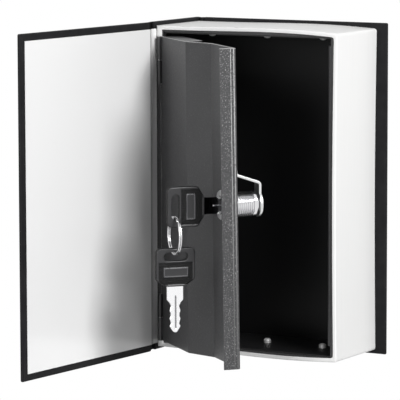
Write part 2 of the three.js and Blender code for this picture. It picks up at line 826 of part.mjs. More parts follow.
function keyPieces(parent, prefix) {
  const centred = (shape, thickness) => raised(shape, -thickness / 2, thickness / 2);
  const round = bowEdgeRound;
  const bowOptions = {
    depth: bowThickness - 2 * round,
    bevelThickness: round,
    bevelSize: round,
    bevelOffset: -round,
    bevelSegments: 2,
    curveSegments: 8,
  };
  const bow = new THREE.ExtrudeGeometry(bowShape(), bowOptions).translate(0, 0, round - bowThickness / 2);
  const socketHalf = shankHalf + keySocketClearance;
  const socket = block(
    [bowLength - keySocket - keySocketClearance, -socketHalf, -keyMetal / 2 - keySocketClearance],
    [bowLength + overrun, socketHalf, keyMetal / 2 + keySocketClearance],
  );
  piece(parent, `${prefix}_blade`, centred(bladeShape(), keyMetal), nickel);
  piece(parent, `${prefix}_bow`, cut(bow, socket), blackPlastic);
}

// Sets a group's axes: where its own x, y and z point.
function pointAxes(group, x, y, z, place) {
  const axes = [x, y, z].map((axis) => new THREE.Vector3(...axis));
  group.quaternion.setFromRotationMatrix(new THREE.Matrix4().makeBasis(...axes));
  group.position.set(...place);
}

function keyInLock(lock) {
  const key = new THREE.Group();
  pointAxes(key, [0, 1, 0], [0, 0, 1], [1, 0, 0], [0, keyStartDepth, 0]);
  lock.add(key);
  keyPieces(key, "key");
}

function spareKey(lock) {
  const key = new THREE.Group();
  pointAxes(key, [0, 0, -1], [0, 1, 0], [1, 0, 0], [0, ringDepth, spareTop]);
  lock.add(key);
  keyPieces(key, "spare_key");
}

function splitRing(lock) {
  const steps = 12;
  const middle = ringInnerRadius + ringRadial / 2;
  const profile = [];
  for (let i = 0; i <= steps; i++) {
    const angle = (2 * Math.PI * (i % steps)) / steps;
    profile.push(
      new THREE.Vector2(middle + (ringRadial / 2) * Math.cos(angle), (ringWidth / 2) * Math.sin(angle)),
    );
  }
  const ring = new THREE.LatheGeometry(profile, roundSegments).translate(0, ringDepth, ringCentre);
  piece(lock, "split_ring", ring, nickel);
}

function doorWithLock(book) {
  const door = new THREE.Group();
  door.position.set(hingeX, hingeY, 0);
  door.rotation.z = -doorAngle * degree;
  book.add(door);
  doorPanel(door);
  const lock = new THREE.Group();
  lock.position.set(lockR, 0, lockHeight);
  door.add(lock);
  lockHousing(lock);
  lockNut(lock);
  lockPlug(lock);
  lockWafers(lock);
  lockCam(lock);
  camScrew(lock);
  keyInLock(lock);
  splitRing(lock);
  spareKey(lock);
}

const safe = new THREE.Group();
const book = new THREE.Group();
book.position.set(-(backHingeX + coverReach / 2), -(backOuterY + backInnerY) / 2, 0);
safe.add(book);
backCover(book);
spine(book);
rearJoint(book);
frontCover(book);
pageShell(book);
steelBox(book);
boxRivets(book);
frontFrame(book);
strikeChannel(book);
hingePins(book);
doorWithLock(book);

export default safe;
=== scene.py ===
# %% [markdown]
# A book that is really a small safe. It stands open on a white table: the cloth cover is swung out to
# the left, and behind it a bent steel door with a key in its lock closes a box inside a hollow block of
# "pages". The CAD model has every part at its size. Here each part gets its finish and, where its edges,
# bends or cloth need more than flat faces, a finer mesh in the same place.
# Work is done in millimetres in the part's own directions and is turned into metres at the very end.

import json
import math

import bmesh
import bpy
import numpy as np
from mathutils import Matrix, Vector


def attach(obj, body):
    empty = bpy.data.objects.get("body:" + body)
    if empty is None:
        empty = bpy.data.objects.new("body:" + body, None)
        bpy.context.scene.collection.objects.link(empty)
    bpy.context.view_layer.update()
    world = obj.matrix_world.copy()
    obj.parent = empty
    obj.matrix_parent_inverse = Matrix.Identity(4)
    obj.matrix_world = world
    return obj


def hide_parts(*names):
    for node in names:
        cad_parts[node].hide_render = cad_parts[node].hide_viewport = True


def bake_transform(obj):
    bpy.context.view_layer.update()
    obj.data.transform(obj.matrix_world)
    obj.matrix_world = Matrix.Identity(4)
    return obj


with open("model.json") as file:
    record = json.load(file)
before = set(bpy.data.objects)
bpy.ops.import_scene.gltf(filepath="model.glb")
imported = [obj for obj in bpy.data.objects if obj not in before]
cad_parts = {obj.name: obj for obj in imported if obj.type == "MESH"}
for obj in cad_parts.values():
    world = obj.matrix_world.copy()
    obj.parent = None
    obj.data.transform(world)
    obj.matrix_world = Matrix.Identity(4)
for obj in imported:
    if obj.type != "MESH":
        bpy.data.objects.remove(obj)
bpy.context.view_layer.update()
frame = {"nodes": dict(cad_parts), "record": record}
MM = 0.001
record = frame["record"]
JOINTS = {joint["name"]: joint for joint in record["behaviour"]["joints"]}
BODY_OF = {node: body for body, nodes in record["behaviour"]["bodies"].items() for node in nodes}


def add_object(name, data):
    """A new object in the scene, from its data."""
    made = bpy.data.objects.new(name, data)
    bpy.context.scene.collection.objects.link(made)
    return made


# %% [markdown]
# Each group of parts has its own directions: the book, the opened cover, the joint strip, the door, the
# lock and its keys. A `Place` holds an origin and three directions and turns a whole array of points
# from its own millimetres into metres in the part's frame. The origins come from the joints of the CAD
# record.

# %% Places
COVER_ANGLE = 94.6
FOLD_ANGLE = 75.0
SPINE_REACH = 3.0
FOLD_LIFT = 2.6
BLOCK_DEPTH = 61.0
COVER_HEIGHT = 240.0
COVER_REACH = 151.5
COVER_THICK = 3.0
JOINT_WIDTH = 7.5
BACK_INNER = BLOCK_DEPTH + 0.1
BACK_OUTER = BACK_INNER + COVER_THICK
LOCK_R = 103.7
LOCK_HEIGHT = 118.5


class Place:
    """An origin in metres and three unit directions; calling it maps local millimetres to metres."""

    def __init__(self, origin, x, y, z):
        self.origin = np.array(origin, float)
        self.axes = np.array([x, y, z], float)

    def __call__(self, points):
        return self.origin + MM * (np.asarray(points, float) @ self.axes)

    def inner(self, point, x, y, z):
        """A place inside this one, from a local point and local directions."""
        local = np.array([x, y, z], float) @ self.axes
        return Place(self(point), *local)


def opened(angle):
    """Directions of something that stands opened by an angle: along it, and into its closed side."""
    turn = math.radians(angle)
    return [math.cos(turn), -math.sin(turn), 0], [math.sin(turn), math.cos(turn), 0]


def joint_place(name, angle):
    """A place on a joint's upright axis, with its origin on the floor."""
    x, y, _ = JOINTS[name]["pos_m"]
    along, inward = opened(angle)
    return Place([x, y, 0], along, inward, [0, 0, 1])


fold_x, fold_y, _ = JOINTS["joint_fold"]["pos_m"]
BOOK = Place([fold_x + SPINE_REACH * MM, fold_y + FOLD_LIFT * MM, 0], [1, 0, 0], [0, 1, 0], [0, 0, 1])
lock_axis = JOINTS["lock_turn"]["axis"]
DOOR_ANGLE = math.degrees(math.atan2(lock_axis[0], lock_axis[1]))
STRIP = joint_place("joint_fold", FOLD_ANGLE)
COVER = joint_place("cover_swing", COVER_ANGLE)
DOOR = joint_place("door_swing", DOOR_ANGLE)
LOCK = DOOR.inner([LOCK_R, 0, LOCK_HEIGHT], [1, 0, 0], [0, 1, 0], [0, 0, 1])
BACK = BOOK.inner([JOINT_WIDTH - SPINE_REACH, BACK_OUTER, COVER_HEIGHT], [1, 0, 0], [0, -1, 0], [0, 0, -1])
SPINE = BOOK.inner([-SPINE_REACH, BACK_OUTER + 0.4, 0], [0, -1, 0], [1, 0, 0], [0, 0, 1])
print(f"door stands {DOOR_ANGLE:.1f} degrees open")

# %% [markdown]
# The camera stands to the right of the open book, a long way back, with a long lens, so that the
# uprights stay almost parallel. Its place and turn were found by fitting the CAD model's corners to the
# photograph's.

# %% Camera
CAMERA_AT = (1138.03, -1888.83, 378.99)
CAMERA_YAW = 30.242
CAMERA_PITCH = 6.955
CAMERA_ROLL = -0.137
FOCAL_PIXELS = 3053.75
PICTURE_PIXELS = 400
SENSOR = 36.0

yaw, pitch, roll = (math.radians(a) for a in (CAMERA_YAW, CAMERA_PITCH, CAMERA_ROLL))
look = Vector((-math.sin(yaw) * math.cos(pitch), math.cos(yaw) * math.cos(pitch), -math.sin(pitch)))
side = look.cross(Vector((0, 0, 1))).normalized()
above = side.cross(look)
right = side * math.cos(roll) + above * math.sin(roll)
up = above * math.cos(roll) - side * math.sin(roll)
camera_data = bpy.data.cameras.new("camera")
camera_data.sensor_width = SENSOR
camera_data.lens = FOCAL_PIXELS / PICTURE_PIXELS * SENSOR
camera_data.clip_end = 20
camera = add_object("camera", camera_data)
turn = Matrix((right, up, -look)).transposed().to_4x4()
camera.matrix_world = Matrix.Translation(Vector(BOOK(CAMERA_AT))) @ turn
bpy.context.scene.camera = camera
print(f"lens {camera_data.lens:.0f} mm")

# %% [markdown]
# Shader maths reads best as arithmetic. `Wire` wraps one output of a node, and its operators add Math
# nodes, so that `1 - mask` or `grain * 0.3` can be written as they are thought. `Finish` starts a
# material with a Principled shader, sets the plain values on its sockets, and adds any other node by
# one method.


# %% Shader helpers
class Wire:
    """A node's output that can be added, subtracted and multiplied like a number."""

    def __init__(self, finish, socket):
        self.finish = finish
        self.socket = socket

    def math(self, operation, *others):
        return self.finish.node("ShaderNodeMath", {"operation": operation}, dict(enumerate((self, *others))))

    def __add__(self, other):
        return self.math("ADD", other)

    def __mul__(self, other):
        return self.math("MULTIPLY", other)

    def __sub__(self, other):
        return self.math("SUBTRACT", other)

    def __rsub__(self, other):
        return self.math("MULTIPLY", -1.0).math("ADD", other)

    __radd__ = __add__
    __rmul__ = __mul__

    def ramp(self, low, high, start=0.0, end=1.0):
        """Runs from start to end while this value runs from low to high, smoothly and within limits."""
        settings = {"interpolation_type": "SMOOTHSTEP"}
        return self.finish.node("ShaderNodeMapRange", settings, {0: self, 1: low, 2: high, 3: start, 4: end})


class Finish:
    """A material with one Principled shader. Plain values go onto its sockets."""

    def __init__(self, name, color, roughness, metallic=0.0, **sockets):
        self.material = bpy.data.materials.new(name)
        self.material.use_nodes = True
        self.tree = self.material.node_tree
        self.shader = self.tree.nodes["Principled BSDF"]
        self.set("Base Color", (*color, 1))
        self.set("Roughness", roughness)
        self.set("Metallic", metallic)
        for socket, value in sockets.items():
            self.set(socket.replace("_", " ").title().replace("Ior", "IOR"), value)

    def feed(self, socket, value):
        """Links a wire to a socket, or sets a plain value on it."""
        if isinstance(value, Wire):
            self.tree.links.new(value.socket, socket)
        else:
            socket.default_value = value

    def set(self, socket, value):
        self.feed(self.shader.inputs[socket], value)

    def node(self, kind, settings, values, output=0):
        made = self.tree.nodes.new(kind)
        for key, value in settings.items():
            setattr(made, key, value)
        for key, value in values.items():
            self.feed(made.inputs[key], value)
        return Wire(self, made.outputs[output])

    def place(self):
        return self.node("ShaderNodeTexCoord", {}, {}, "Object")

    def height(self):
        """The height above the floor in metres."""
        return self.node("ShaderNodeSeparateXYZ", {}, {0: self.place()}, "Z")

    def noise(self, size, detail=2.0, rough=0.5, stretch=(1, 1, 1)):
        """Cloudy noise whose blobs are about `size` millimetres across, pulled out along any axis."""
        spots = self.node("ShaderNodeMapping", {}, {0: self.place(), 3: stretch})
        values = {"Vector": spots, "Scale": 1 / (size * MM), "Detail": detail, "Roughness": rough}
        return self.node("ShaderNodeTexNoise", {}, values)

    def mix(self, factor, first, second):
        """Two colours mixed by a factor. Either can be a wire."""
        first, second = (value if isinstance(value, Wire) else (*value, 1) for value in (first, second))
        values = {"Factor": factor, 6: first, 7: second}
        return self.node("ShaderNodeMix", {"data_type": "RGBA"}, values, 2)

    def bump(self, height, strength, depth):
        """A bumpy surface from a height wire; depth is how deep a step of one looks, in millimetres."""
        values = {"Height": height, "Strength": strength, "Distance": depth * MM}
        self.set("Normal", self.node("ShaderNodeBump", {}, values))


def grey(level, blue=1.0):
    """A grey colour, with its blue raised a little by a factor."""
    return level, level, level * blue


def grained(name, color, low, spread, size, detail=2.0, rough=0.5, tones=(), bump=(), metallic=0.0,
            **sockets):
    """A finish with one grain. It spreads the roughness, may mix two tones and may be felt as a bump."""
    finish = Finish(name, color, low, metallic, **sockets)
    grain = finish.noise(size, detail, rough)
    if tones:
        finish.set("Base Color", finish.mix(grain, *tones))
    if spread:
        finish.set("Roughness", low + grain * spread)
    if bump:
        finish.bump(grain, *bump)
    return finish.material


print("shader helpers ready")

# %% [markdown]
# Bookcloth on the covers is black, with a fine pressed grain that only shows where light grazes it. Two
# noises do it: one at the thread's size and one, much finer, for the pores. A slow noise makes the cloth
# a little lighter in places, as if rubbed.


# %% Cloth, paper and page plastic
def bookcloth():
    cloth = Finish("bookcloth", (0.012, 0.012, 0.013), 0.55, specular_ior_level=0.12, sheen_weight=0.02,
                   sheen_roughness=0.5)
    grain = cloth.noise(0.55, 3.0, 0.6)
    pores = cloth.noise(0.22, 2.0, 0.5)
    wear_and_sheen = cloth.noise(14.0, 3.0, 0.6).ramp(0.35, 0.75)
    cloth.set("Base Color", cloth.mix(wear_and_sheen, (0.009, 0.009, 0.01), (0.015, 0.015, 0.016)))
    cloth.set("Roughness", 0.52 + grain * 0.22)
    cloth.bump(grain * 0.7 + pores * 0.3, 0.55, 0.12)
    return cloth.material


def coated_paper():
    paper = Finish("coated_paper", grey(0.87), 0.2, specular_ior_level=0.5, coat_weight=0.35,
                   coat_roughness=0.08)
    fibre = paper.noise(1.4, 4.0, 0.6)
    wave = paper.noise(42.0, 1.0, 0.4)
    paper.set("Roughness", 0.18 + fibre * 0.1)
    paper.bump(wave + fibre * 0.01, 0.35, 0.5)
    return paper.material


def page_plastic():
    """White moulded plastic whose head, tail and fore-edge carry the fine lines of stacked pages."""
    page = Finish("page_plastic", (0.8, 0.8, 0.795), 0.42, specular_ior_level=0.4)
    lines = page.noise(0.55, 2.0, 0.55, (0.012, 1, 0.012))
    patches = page.noise(26.0, 2.0, 0.5)
    page.set("Base Color", page.mix(lines.ramp(0.3, 0.7), (0.81, 0.81, 0.805), (0.83, 0.83, 0.825)))
    page.set("Roughness", 0.36 + patches * 0.12)
    page.bump(lines, 0.12, 0.05)
    return page.material


BOOKCLOTH = bookcloth()
PAPER = coated_paper()
PAGE = page_plastic()

# %% [markdown]
# The steel is powder coated. The box inside is plain black with a faint orange-peel. The door and the
# frame are dark grey with light specks, as hammered safe paint has. The specks are the peaks of a fine
# noise: a ramp picks them out, colours them lighter and makes them a little smoother. There are three
# such coats: one on the door; a darker one on the frame, whose darkness is painted shade; and one with
# coarser specks on the door's free wall, whose lighter ground and pale specks are painted sheen and
# glints. The crests of the ridges in that wall and the door's top rim are painted pale as a highlight,
# lighter higher up where the light from above falls, and broken up by a noise.


# %% Painted steel
def speckled_coat(name, size, speck, depth, tone=1.0):
    """Dark paint with specks of a size in millimetres, a lightness and a depth; tone scales the ground, so
    that a low tone paints shade.
    """
    coat = Finish(name, (0.05, 0.05, 0.052), 0.42, specular_ior_level=0.4)
    fine = coat.noise(size, 3.0, 0.65)
    peel = coat.noise(1.5, 2.0, 0.5)
    cloud = coat.noise(38.0, 2.0, 0.5)
    specks = fine.ramp(0.56, 0.68)
    shade = coat.mix(cloud, grey(0.036 * tone, 1.05), grey(0.054 * tone, 1.04))
    coat.set("Base Color", coat.mix(specks * 0.6, shade, grey(speck)))
    coat.set("Roughness", 0.34 + peel * 0.16 - specks * 0.08)
    coat.bump(fine * 0.7 + peel * 0.5, 0.4, depth)
    return coat.material


def painted_highlight_coat():
    """The crest of a rolled ridge, painted pale as a highlight, more so higher up where the light from above
    falls.
    """
    crest_highlight = Finish("painted_highlight_coat", grey(0.3), 0.3, specular_ior_level=0.6)
    wear_and_sheen = crest_highlight.noise(2.2, 3.0, 0.7).ramp(0.25, 0.5)
    light_from_above = crest_highlight.height().ramp(0.03, 0.2, 0.12, 1.0)
    crest_highlight.set("Base Color", crest_highlight.mix(wear_and_sheen * light_from_above, grey(0.07), grey(0.42)))
    return crest_highlight.material


ENAMEL = grained("black_enamel", (0.0075, 0.0075, 0.008), 0.32, 0.2, 1.3, bump=(0.25, 0.15),
                 specular_ior_level=0.4)
COAT = speckled_coat("speckled_coat", 0.62, 0.12, 0.16, 0.88)
# Painted sheen and glints: the free wall's coat has a lighter ground and pale specks.
LIT_WALL_COAT = speckled_coat("coarse_coat_painted_glints", 0.75, 0.52, 0.4)
# Painted shade: the frame's coat is a darker copy of the door's.
SHADED_FRAME_COAT = speckled_coat("frame_coat_painted_shade", 0.62, 0.07, 0.16, 0.45)
# Painted highlight: the pale crests of the wall's beads and the door's top rim.
BEAD_HIGHLIGHT_COAT = painted_highlight_coat()
print("enamel and speckled coats made")

# %% [markdown]
# Bare metals differ mostly in colour and in how far they blur a reflection: nickel on the lock and the
# ring is mirror-like, zinc on the cam and the nut is softer with long brushed streaks, zinc on the
# rivets is dull, and the wafers are brass. The key in the lock is given a dark nickel: a painted
# reflection of the dark surroundings it mirrors. The milled groove in each key has its own metal colour:
# darker than the bright spare key, as painted shade in the recess, and lighter than the dark key in the
# lock, as a painted glint. The bows are black plastic, stippled on the grip and the sides; the sides
# are painted darker as shade and the raised bars lighter as a highlight.


# %% Bare metal and plastic
def bare_metal(name, color, low, high, size, stretch=(1, 1, 1), depth=0.0):
    """Metal whose roughness runs from low to high with marks of a size in millimetres."""
    metal = Finish(name, color, low, 1.0)
    marks = metal.noise(size, 3.0, 0.6, stretch)
    metal.set("Roughness", marks.ramp(0.2, 0.8, low, high))
    if depth:
        metal.bump(marks, 0.2, depth)
    return metal.material


def bow_plastic(name, shade, spread=0.12, size=1.6, bump=(0.15, 0.08), gloss=0.4):
    return grained(name, grey(shade, 1.06), 0.3, spread, size, bump=bump, specular_ior_level=gloss)


STIPPLE = {"spread": 0.35, "size": 0.9, "bump": (0.9, 0.6), "gloss": 0.2}
NICKEL = bare_metal("nickel", (0.74, 0.74, 0.75), 0.1, 0.22, 1.2)
ZINC = bare_metal("zinc", (0.72, 0.73, 0.73), 0.22, 0.4, 0.5, (1, 1, 0.08), 0.004)
# Painted reflection: the key in the lock gets a dark nickel for the dark surroundings it mirrors.
REFLECTION_DARK_NICKEL = bare_metal("nickel_painted_dark_reflection", (0.07, 0.07, 0.073), 0.08, 0.16, 1.2)
BEZEL_NICKEL = bare_metal("bezel_nickel", (0.8, 0.8, 0.81), 0.05, 0.12, 1.2)
RIVET_ZINC = grained("satin_zinc", grey(0.5), 0.34, 0.2, 0.9, 3.0, 0.6,
                     tones=(grey(0.6), (0.8, 0.8, 0.79)), metallic=0.35)
# Painted shade and glint: the keys' groove is darker than the bright spare key and lighter than the dark key.
GROOVE_SHADE_AND_GLINT_METAL = bare_metal("groove_painted_shade_and_glint", (0.3, 0.3, 0.31), 0.2, 0.35, 0.8)
KEY_METAL = bare_metal("key_metal", (0.93, 0.93, 0.94), 0.14, 0.3, 0.6, (1, 1, 0.1), 0.003)
BRASS = bare_metal("brass", (0.62, 0.47, 0.2), 0.2, 0.35, 0.8)
BOW_SMOOTH = bow_plastic("bow_smooth", 0.026)
BOW_STIPPLE = bow_plastic("bow_stipple", 0.004, **STIPPLE)
# Painted shade on the bow's rounded sides, and a painted highlight on its raised bars.
BOW_SHADED_EDGE = bow_plastic("bow_edge_painted_shade", 0.003, **STIPPLE)
BOW_BAR_HIGHLIGHT = bow_plastic("bow_bar_painted_highlight", 0.09)
print("metals and plastics made")

# %% [markdown]
# Nearly everything here is a grid: a closed cross-section carried from row to row. `sheet_of_rows`
# turns an array of rows of points into a mesh, joins the last column to the first when the section is
# closed, and closes the first and last rows with a cap, or leaves them open, or joins them when the
# path comes back to its start. Points that fall together, as at a pole, are merged afterwards, and the
# normals are recalculated to point out.


# %% Mesh helpers
MERGE_BELOW, DISSOLVE_BELOW = 0.004, 0.003
BAND_LEVELS = 9


def sheet_of_rows(rows, closed_rows=False, caps=True):
    """Vertices and faces for closed rows of points, shape (rows, columns, 3). The vertices are numbered
    row by row, and quads join neighbouring rows and columns."""
    rows = np.asarray(rows)
    count, columns = rows.shape[:2]
    row = np.arange(count if closed_rows else count - 1)
    a, b = np.meshgrid(row, np.arange(columns), indexing="ij")
    c, d = (a + 1) % count, (b + 1) % columns
    quads = np.stack([a * columns + b, a * columns + d, c * columns + d, c * columns + b], -1)
    faces = quads.reshape(-1, 4).tolist()
    if caps and not closed_rows:
        faces.append(list(range(columns))[::-1])
        faces.append([(count - 1) * columns + i for i in range(columns)])
    return rows.reshape(-1, 3), faces


def piece(name, parts, place, material, replaced, smooth=35.0, rides=True):
    """Makes an object from one or more pairs of local points and faces, cleans its mesh and shades it.
    It rides on the body of the CAD nodes that it replaces and hides them."""
    points, faces = [], []
    for part_points, part_faces in parts if isinstance(parts, list) else [parts]:
        start = sum(map(len, points))
        points.append(part_points)
        faces += [[i + start for i in face] for face in part_faces]
    mesh = bpy.data.meshes.new(name)
    mesh.from_pydata(place(np.concatenate(points)).tolist(), [], faces)
    work = bmesh.new()
    work.from_mesh(mesh)
    bmesh.ops.remove_doubles(work, verts=work.verts, dist=MERGE_BELOW * MM)
    bmesh.ops.dissolve_degenerate(work, edges=work.edges, dist=DISSOLVE_BELOW * MM)
    bmesh.ops.recalc_face_normals(work, faces=work.faces)
    work.to_mesh(mesh)
    work.free()
    mesh.materials.append(material)
    mesh.shade_smooth()
    mesh.set_sharp_from_angle(angle=math.radians(smooth))
    made = add_object(name, mesh)
    made.modifiers.new("weighted normals", "WEIGHTED_NORMAL").keep_sharp = True
    if rides:
        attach(made, BODY_OF[replaced[0]])
    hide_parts(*replaced)
    return made


def local_centres(made, place):
    """The middle of each face of a piece, in millimetres in its own place, as three rows."""
    centres = np.zeros(len(made.data.polygons) * 3)
    made.data.polygons.foreach_get("center", centres)
    return ((centres.reshape(-1, 3) - place.origin) / MM @ np.linalg.inv(place.axes)).T


def paint(made, finishes, numbers):
    """Gives a piece more finishes. Each face has a number: 0 for its first finish, 1 for the next."""
    for finish in finishes:
        made.data.materials.append(finish)
    made.data.polygons.foreach_set("material_index", numbers.astype(np.int32))


def unit(value):
    """The value, held between nought and one."""
    return np.clip(value, 0, 1)


def circle(steps):
    """Evenly spaced angles of a full turn."""
    return np.arange(steps) * 2 * math.pi / steps


def about_y(radius, angle, height):
    """Points at a radius and an angle about the local Y axis, at a height along it."""
    x = radius * np.cos(angle)
    return np.stack([x, height + 0 * x, radius * np.sin(angle)], -1)


def at_depth(outline, depth):
    """An outline in x and z as points at a depth."""
    return np.column_stack([outline[:, 0], np.full(len(outline), depth), outline[:, 1]])


def at_height(outline, height):
    """An outline in x and y as points at a height."""
    return np.column_stack([outline, np.full(len(outline), height)])


def direction(way):
    """Ways scaled to a length of one."""
    return way / np.linalg.norm(way, axis=-1, keepdims=True)


def drawn_in(corners, inset):
    """Corners moved towards their middle."""
    return corners + direction(corners.mean(axis=0) - corners) * inset


def bezier(start, tip, end, share):
    """A curve from start to end that heads for the tip: their mean with the weights of a square."""
    return start * (1 - share) ** 2 + tip * 2 * share * (1 - share) + end * share**2


def dome(radius, rise, base, count):
    """The profile of a domed head, from its crown down to its rim."""
    angle = np.linspace(0, math.pi / 2, count)
    return np.column_stack([radius * np.sin(angle), base + rise * np.cos(angle)])


def rounding(steps):
    """Pairs of (inset share, depth share) along a quarter round, from its side to its top."""
    angle = np.linspace(0, math.pi / 2, steps + 1)
    return np.stack([1 - np.cos(angle), 1 - np.sin(angle)], -1)


def rounded_box(low, high, radius, steps=3):
    """A block with round edges: the corners of a smaller block, each pushed out along a sphere."""
    low, high = np.array(low, float), np.array(high, float)
    middle, core = (low + high) / 2, (high - low) / 2 - radius
    quarter = np.linspace(0, math.pi / 2, steps + 1)
    around = np.concatenate([quarter + i * math.pi / 2 for i in range(4)])
    sign_x = np.repeat([1, -1, -1, 1], steps + 1)
    sign_y = np.repeat([1, 1, -1, -1], steps + 1)
    rise = np.concatenate([quarter - math.pi / 2, quarter])
    sign_z = np.repeat([-1, 1], steps + 1)
    v, u = np.meshgrid(rise, around, indexing="ij")
    x = sign_x * core[0] + radius * np.cos(v) * np.cos(u)
    y = sign_y * core[1] + radius * np.cos(v) * np.sin(u)
    z = sign_z[:, None] * core[2] + radius * np.sin(v)
    return sheet_of_rows(np.stack([x, y, z], -1) + middle)


def bent_line(points, radius, steps=5):
    """A line through the points whose corners are rounded off by arcs of the radius."""
    points = [np.array(p, float) for p in points]
    line = [points[0][None]]
    for before, corner, after in zip(points, points[1:], points[2:]):
        into, out = direction(corner - before), direction(after - corner)
        bend = math.acos(float(np.clip(into @ out, -1, 1)))
        reach = radius * math.tan(bend / 2)
        share = np.linspace(0, 1, steps + 1)[:, None]
        start, end = corner - into * reach, corner + out * reach
        centre = corner + direction(out - into) * radius / math.cos(bend / 2)
        ray = (start - centre) * (1 - share) + (end - centre) * share
        line.append(centre + direction(ray) * radius)
    line.append(points[-1][None])
    return np.concatenate(line)


def line_normals(line):
    """The unit normals of a line in the plane, to its left, averaged at each point."""
    step = direction(np.diff(line, axis=0))
    mean = direction(np.concatenate([step[:1], step[:-1] + step[1:], step[-1:]]))
    return mean[:, ::-1] * [-1, 1]


def band(line, thickness, low, high, round_by=0.15, stand=0.0):
    """A sheet of metal or cloth: a line with thickness, carried from low to high.
    `stand` adds to the right-hand face. Both ends draw in by `round_by`, as a broken edge does."""
    normals = line_normals(line)
    between = [(level, 0) for level in np.linspace(low + round_by, high - round_by, BAND_LEVELS)]
    rows = []
    for level, inset in [(low, round_by), *between, (high, round_by)]:
        left = line + normals * (thickness / 2 - inset)
        right_side = line - normals * (thickness / 2 - inset + stand)
        rows.append(at_height(np.concatenate([left, right_side[::-1]]), level))
    return sheet_of_rows(rows)


def turned(profile, steps=40, closed=False):
    """A profile of (radius, height) turned about the local Y axis. A closed profile makes a ring."""
    radius, height = np.array(profile, float).T[:, :, None]
    return sheet_of_rows(about_y(radius, circle(steps), height), closed, caps=False)


def upright(parts):
    """Stands a turned part up: its Y axis becomes Z."""
    points, faces = parts
    return points[:, [0, 2, 1]] * [1, -1, 1], faces


def moved(parts, x, y, z=0.0):
    """A pair of points and faces, shifted."""
    return parts[0] + [x, y, z], parts[1]


print("mesh helpers ready")

# %% [markdown]
# A hard cover is grey board wrapped in cloth. The cloth goes round the edges and is glued down inside
# in three flaps, which meet at the corners on a slant. A sheet of white paper covers the flaps' raw
# edges and leaves a narrow black border. The wrap is a block with rounded edges, the flaps are thin
# plates with slanted ends and a hair's gap between them, and the paper lies over them.

# %% Covers
CLOTH_ROUND = 1.1
FLAP_WIDTH, FLAP_THICK = 15.0, 0.16
PAPER_THICK, PAPER_MARGIN, BACK_MARGIN = 0.2, 5.1, 9.5
JOINT_GAP, HAIR = 0.4, 0.03


def flat_plate(corners, low, high, inset):
    """A thin plate on a plane: its corners in x and z, its faces at two depths, its upper rim drawn in."""
    corners = np.array(corners, float)
    section = (corners, low), (corners, high - inset), (drawn_in(corners, inset), high)
    return sheet_of_rows([at_depth(outline, depth) for outline, depth in section])


def flaps(length, low, high):
    """The three turned-in flaps of a cover, with slanted ends that leave a thin gap."""
    edge, gap, near = 0.55, 0.12, JOINT_GAP + 0.4
    top, far = COVER_HEIGHT - edge, length - edge
    inner_far, inner_top = length - FLAP_WIDTH, COVER_HEIGHT - FLAP_WIDTH
    head = [(near, top), (far - gap, top), (inner_far - gap, inner_top), (near, inner_top)]
    tail = [(near, edge), (far - gap, edge), (inner_far - gap, FLAP_WIDTH), (near, FLAP_WIDTH)]
    fore = [(far, edge + gap), (far, top - gap), (inner_far, inner_top - gap), (inner_far, FLAP_WIDTH + gap)]
    return [flat_plate(corners, low, high, 0.08) for corners in (head, tail, fore)]


def hard_cover(prefix, place, fore_margin):
    """One cover: cloth wrap with its flaps, and the paper over them, set in from the fore-edge."""
    flap_top = COVER_THICK - PAPER_THICK - HAIR
    wrap_top = flap_top - FLAP_THICK
    wrap = rounded_box([JOINT_GAP, 0, 0], [COVER_REACH, wrap_top, COVER_HEIGHT], CLOTH_ROUND, 4)
    parts = [wrap] + flaps(COVER_REACH, wrap_top - 0.3, flap_top)
    replaced = [f"{prefix}_cover_cloth", f"{prefix}_board"]
    piece(f"{prefix}_case_cloth", parts, place, BOOKCLOTH, replaced)
    far, top = COVER_REACH - fore_margin, COVER_HEIGHT - PAPER_MARGIN
    corners = [(JOINT_GAP, PAPER_MARGIN), (far, PAPER_MARGIN), (far, top), (JOINT_GAP, top)]
    sheet = flat_plate(corners, flap_top - 0.1, COVER_THICK, 0.06)
    piece(f"{prefix}_paper", sheet, place, PAPER, [f"{prefix}_endpaper"])


hard_cover("front", COVER, PAPER_MARGIN)
hard_cover("back", BACK, BACK_MARGIN)
print("covers wrapped")

# %% [markdown]
# The spine is a third, narrow board in the same cloth. Behind, the cloth dips from the spine into the
# joint and rises onto the back cover; that groove is where the rear cover would bend. It is one strip
# whose section is a smooth dip, carried from tail to head.

# %% Spine and rear joint
SPINE_WIDTH = FOLD_LIFT - 0.6 + BACK_OUTER + JOINT_GAP
CLOTH_THICK, CLOTH_MARGIN = 0.4, 0.15


def rear_joint():
    """The groove: a line that falls and rises as a cosine between the spine and the back board."""
    start, end = -0.6, JOINT_WIDTH - SPINE_REACH + 1.0
    share = np.linspace(0, 1, 25)
    high = BACK_OUTER - CLOTH_THICK / 2 - HAIR
    low = BACK_INNER + CLOTH_THICK / 2 + 0.15
    dip = 0.5 - 0.5 * np.cos(2 * math.pi * unit((share - 0.06) / 0.88))
    line = np.column_stack([start + (end - start) * share, high - (high - low) * dip**0.7])
    return band(line, CLOTH_THICK, CLOTH_MARGIN, COVER_HEIGHT - CLOTH_MARGIN, 0.12)


spine_slab = rounded_box([JOINT_GAP, 0, 0], [SPINE_WIDTH, COVER_THICK, COVER_HEIGHT], CLOTH_ROUND, 4)
piece("spine_case_cloth", spine_slab, SPINE, BOOKCLOTH, ["spine_cloth", "spine_board"])
piece("rear_groove_cloth", rear_joint(), BOOK, BOOKCLOTH, ["rear_joint_cloth"])
print("spine and rear joint made")

# %% [markdown]
# The front joint is the cloth hinge. It bends along two lines: at the spine and at the cover's edge.
# The cloth and the paper on it are each made in two halves that meet in the middle of the strip. The
# paper bows away from the hinge, so that the door and the frame clear it when the door is shut.


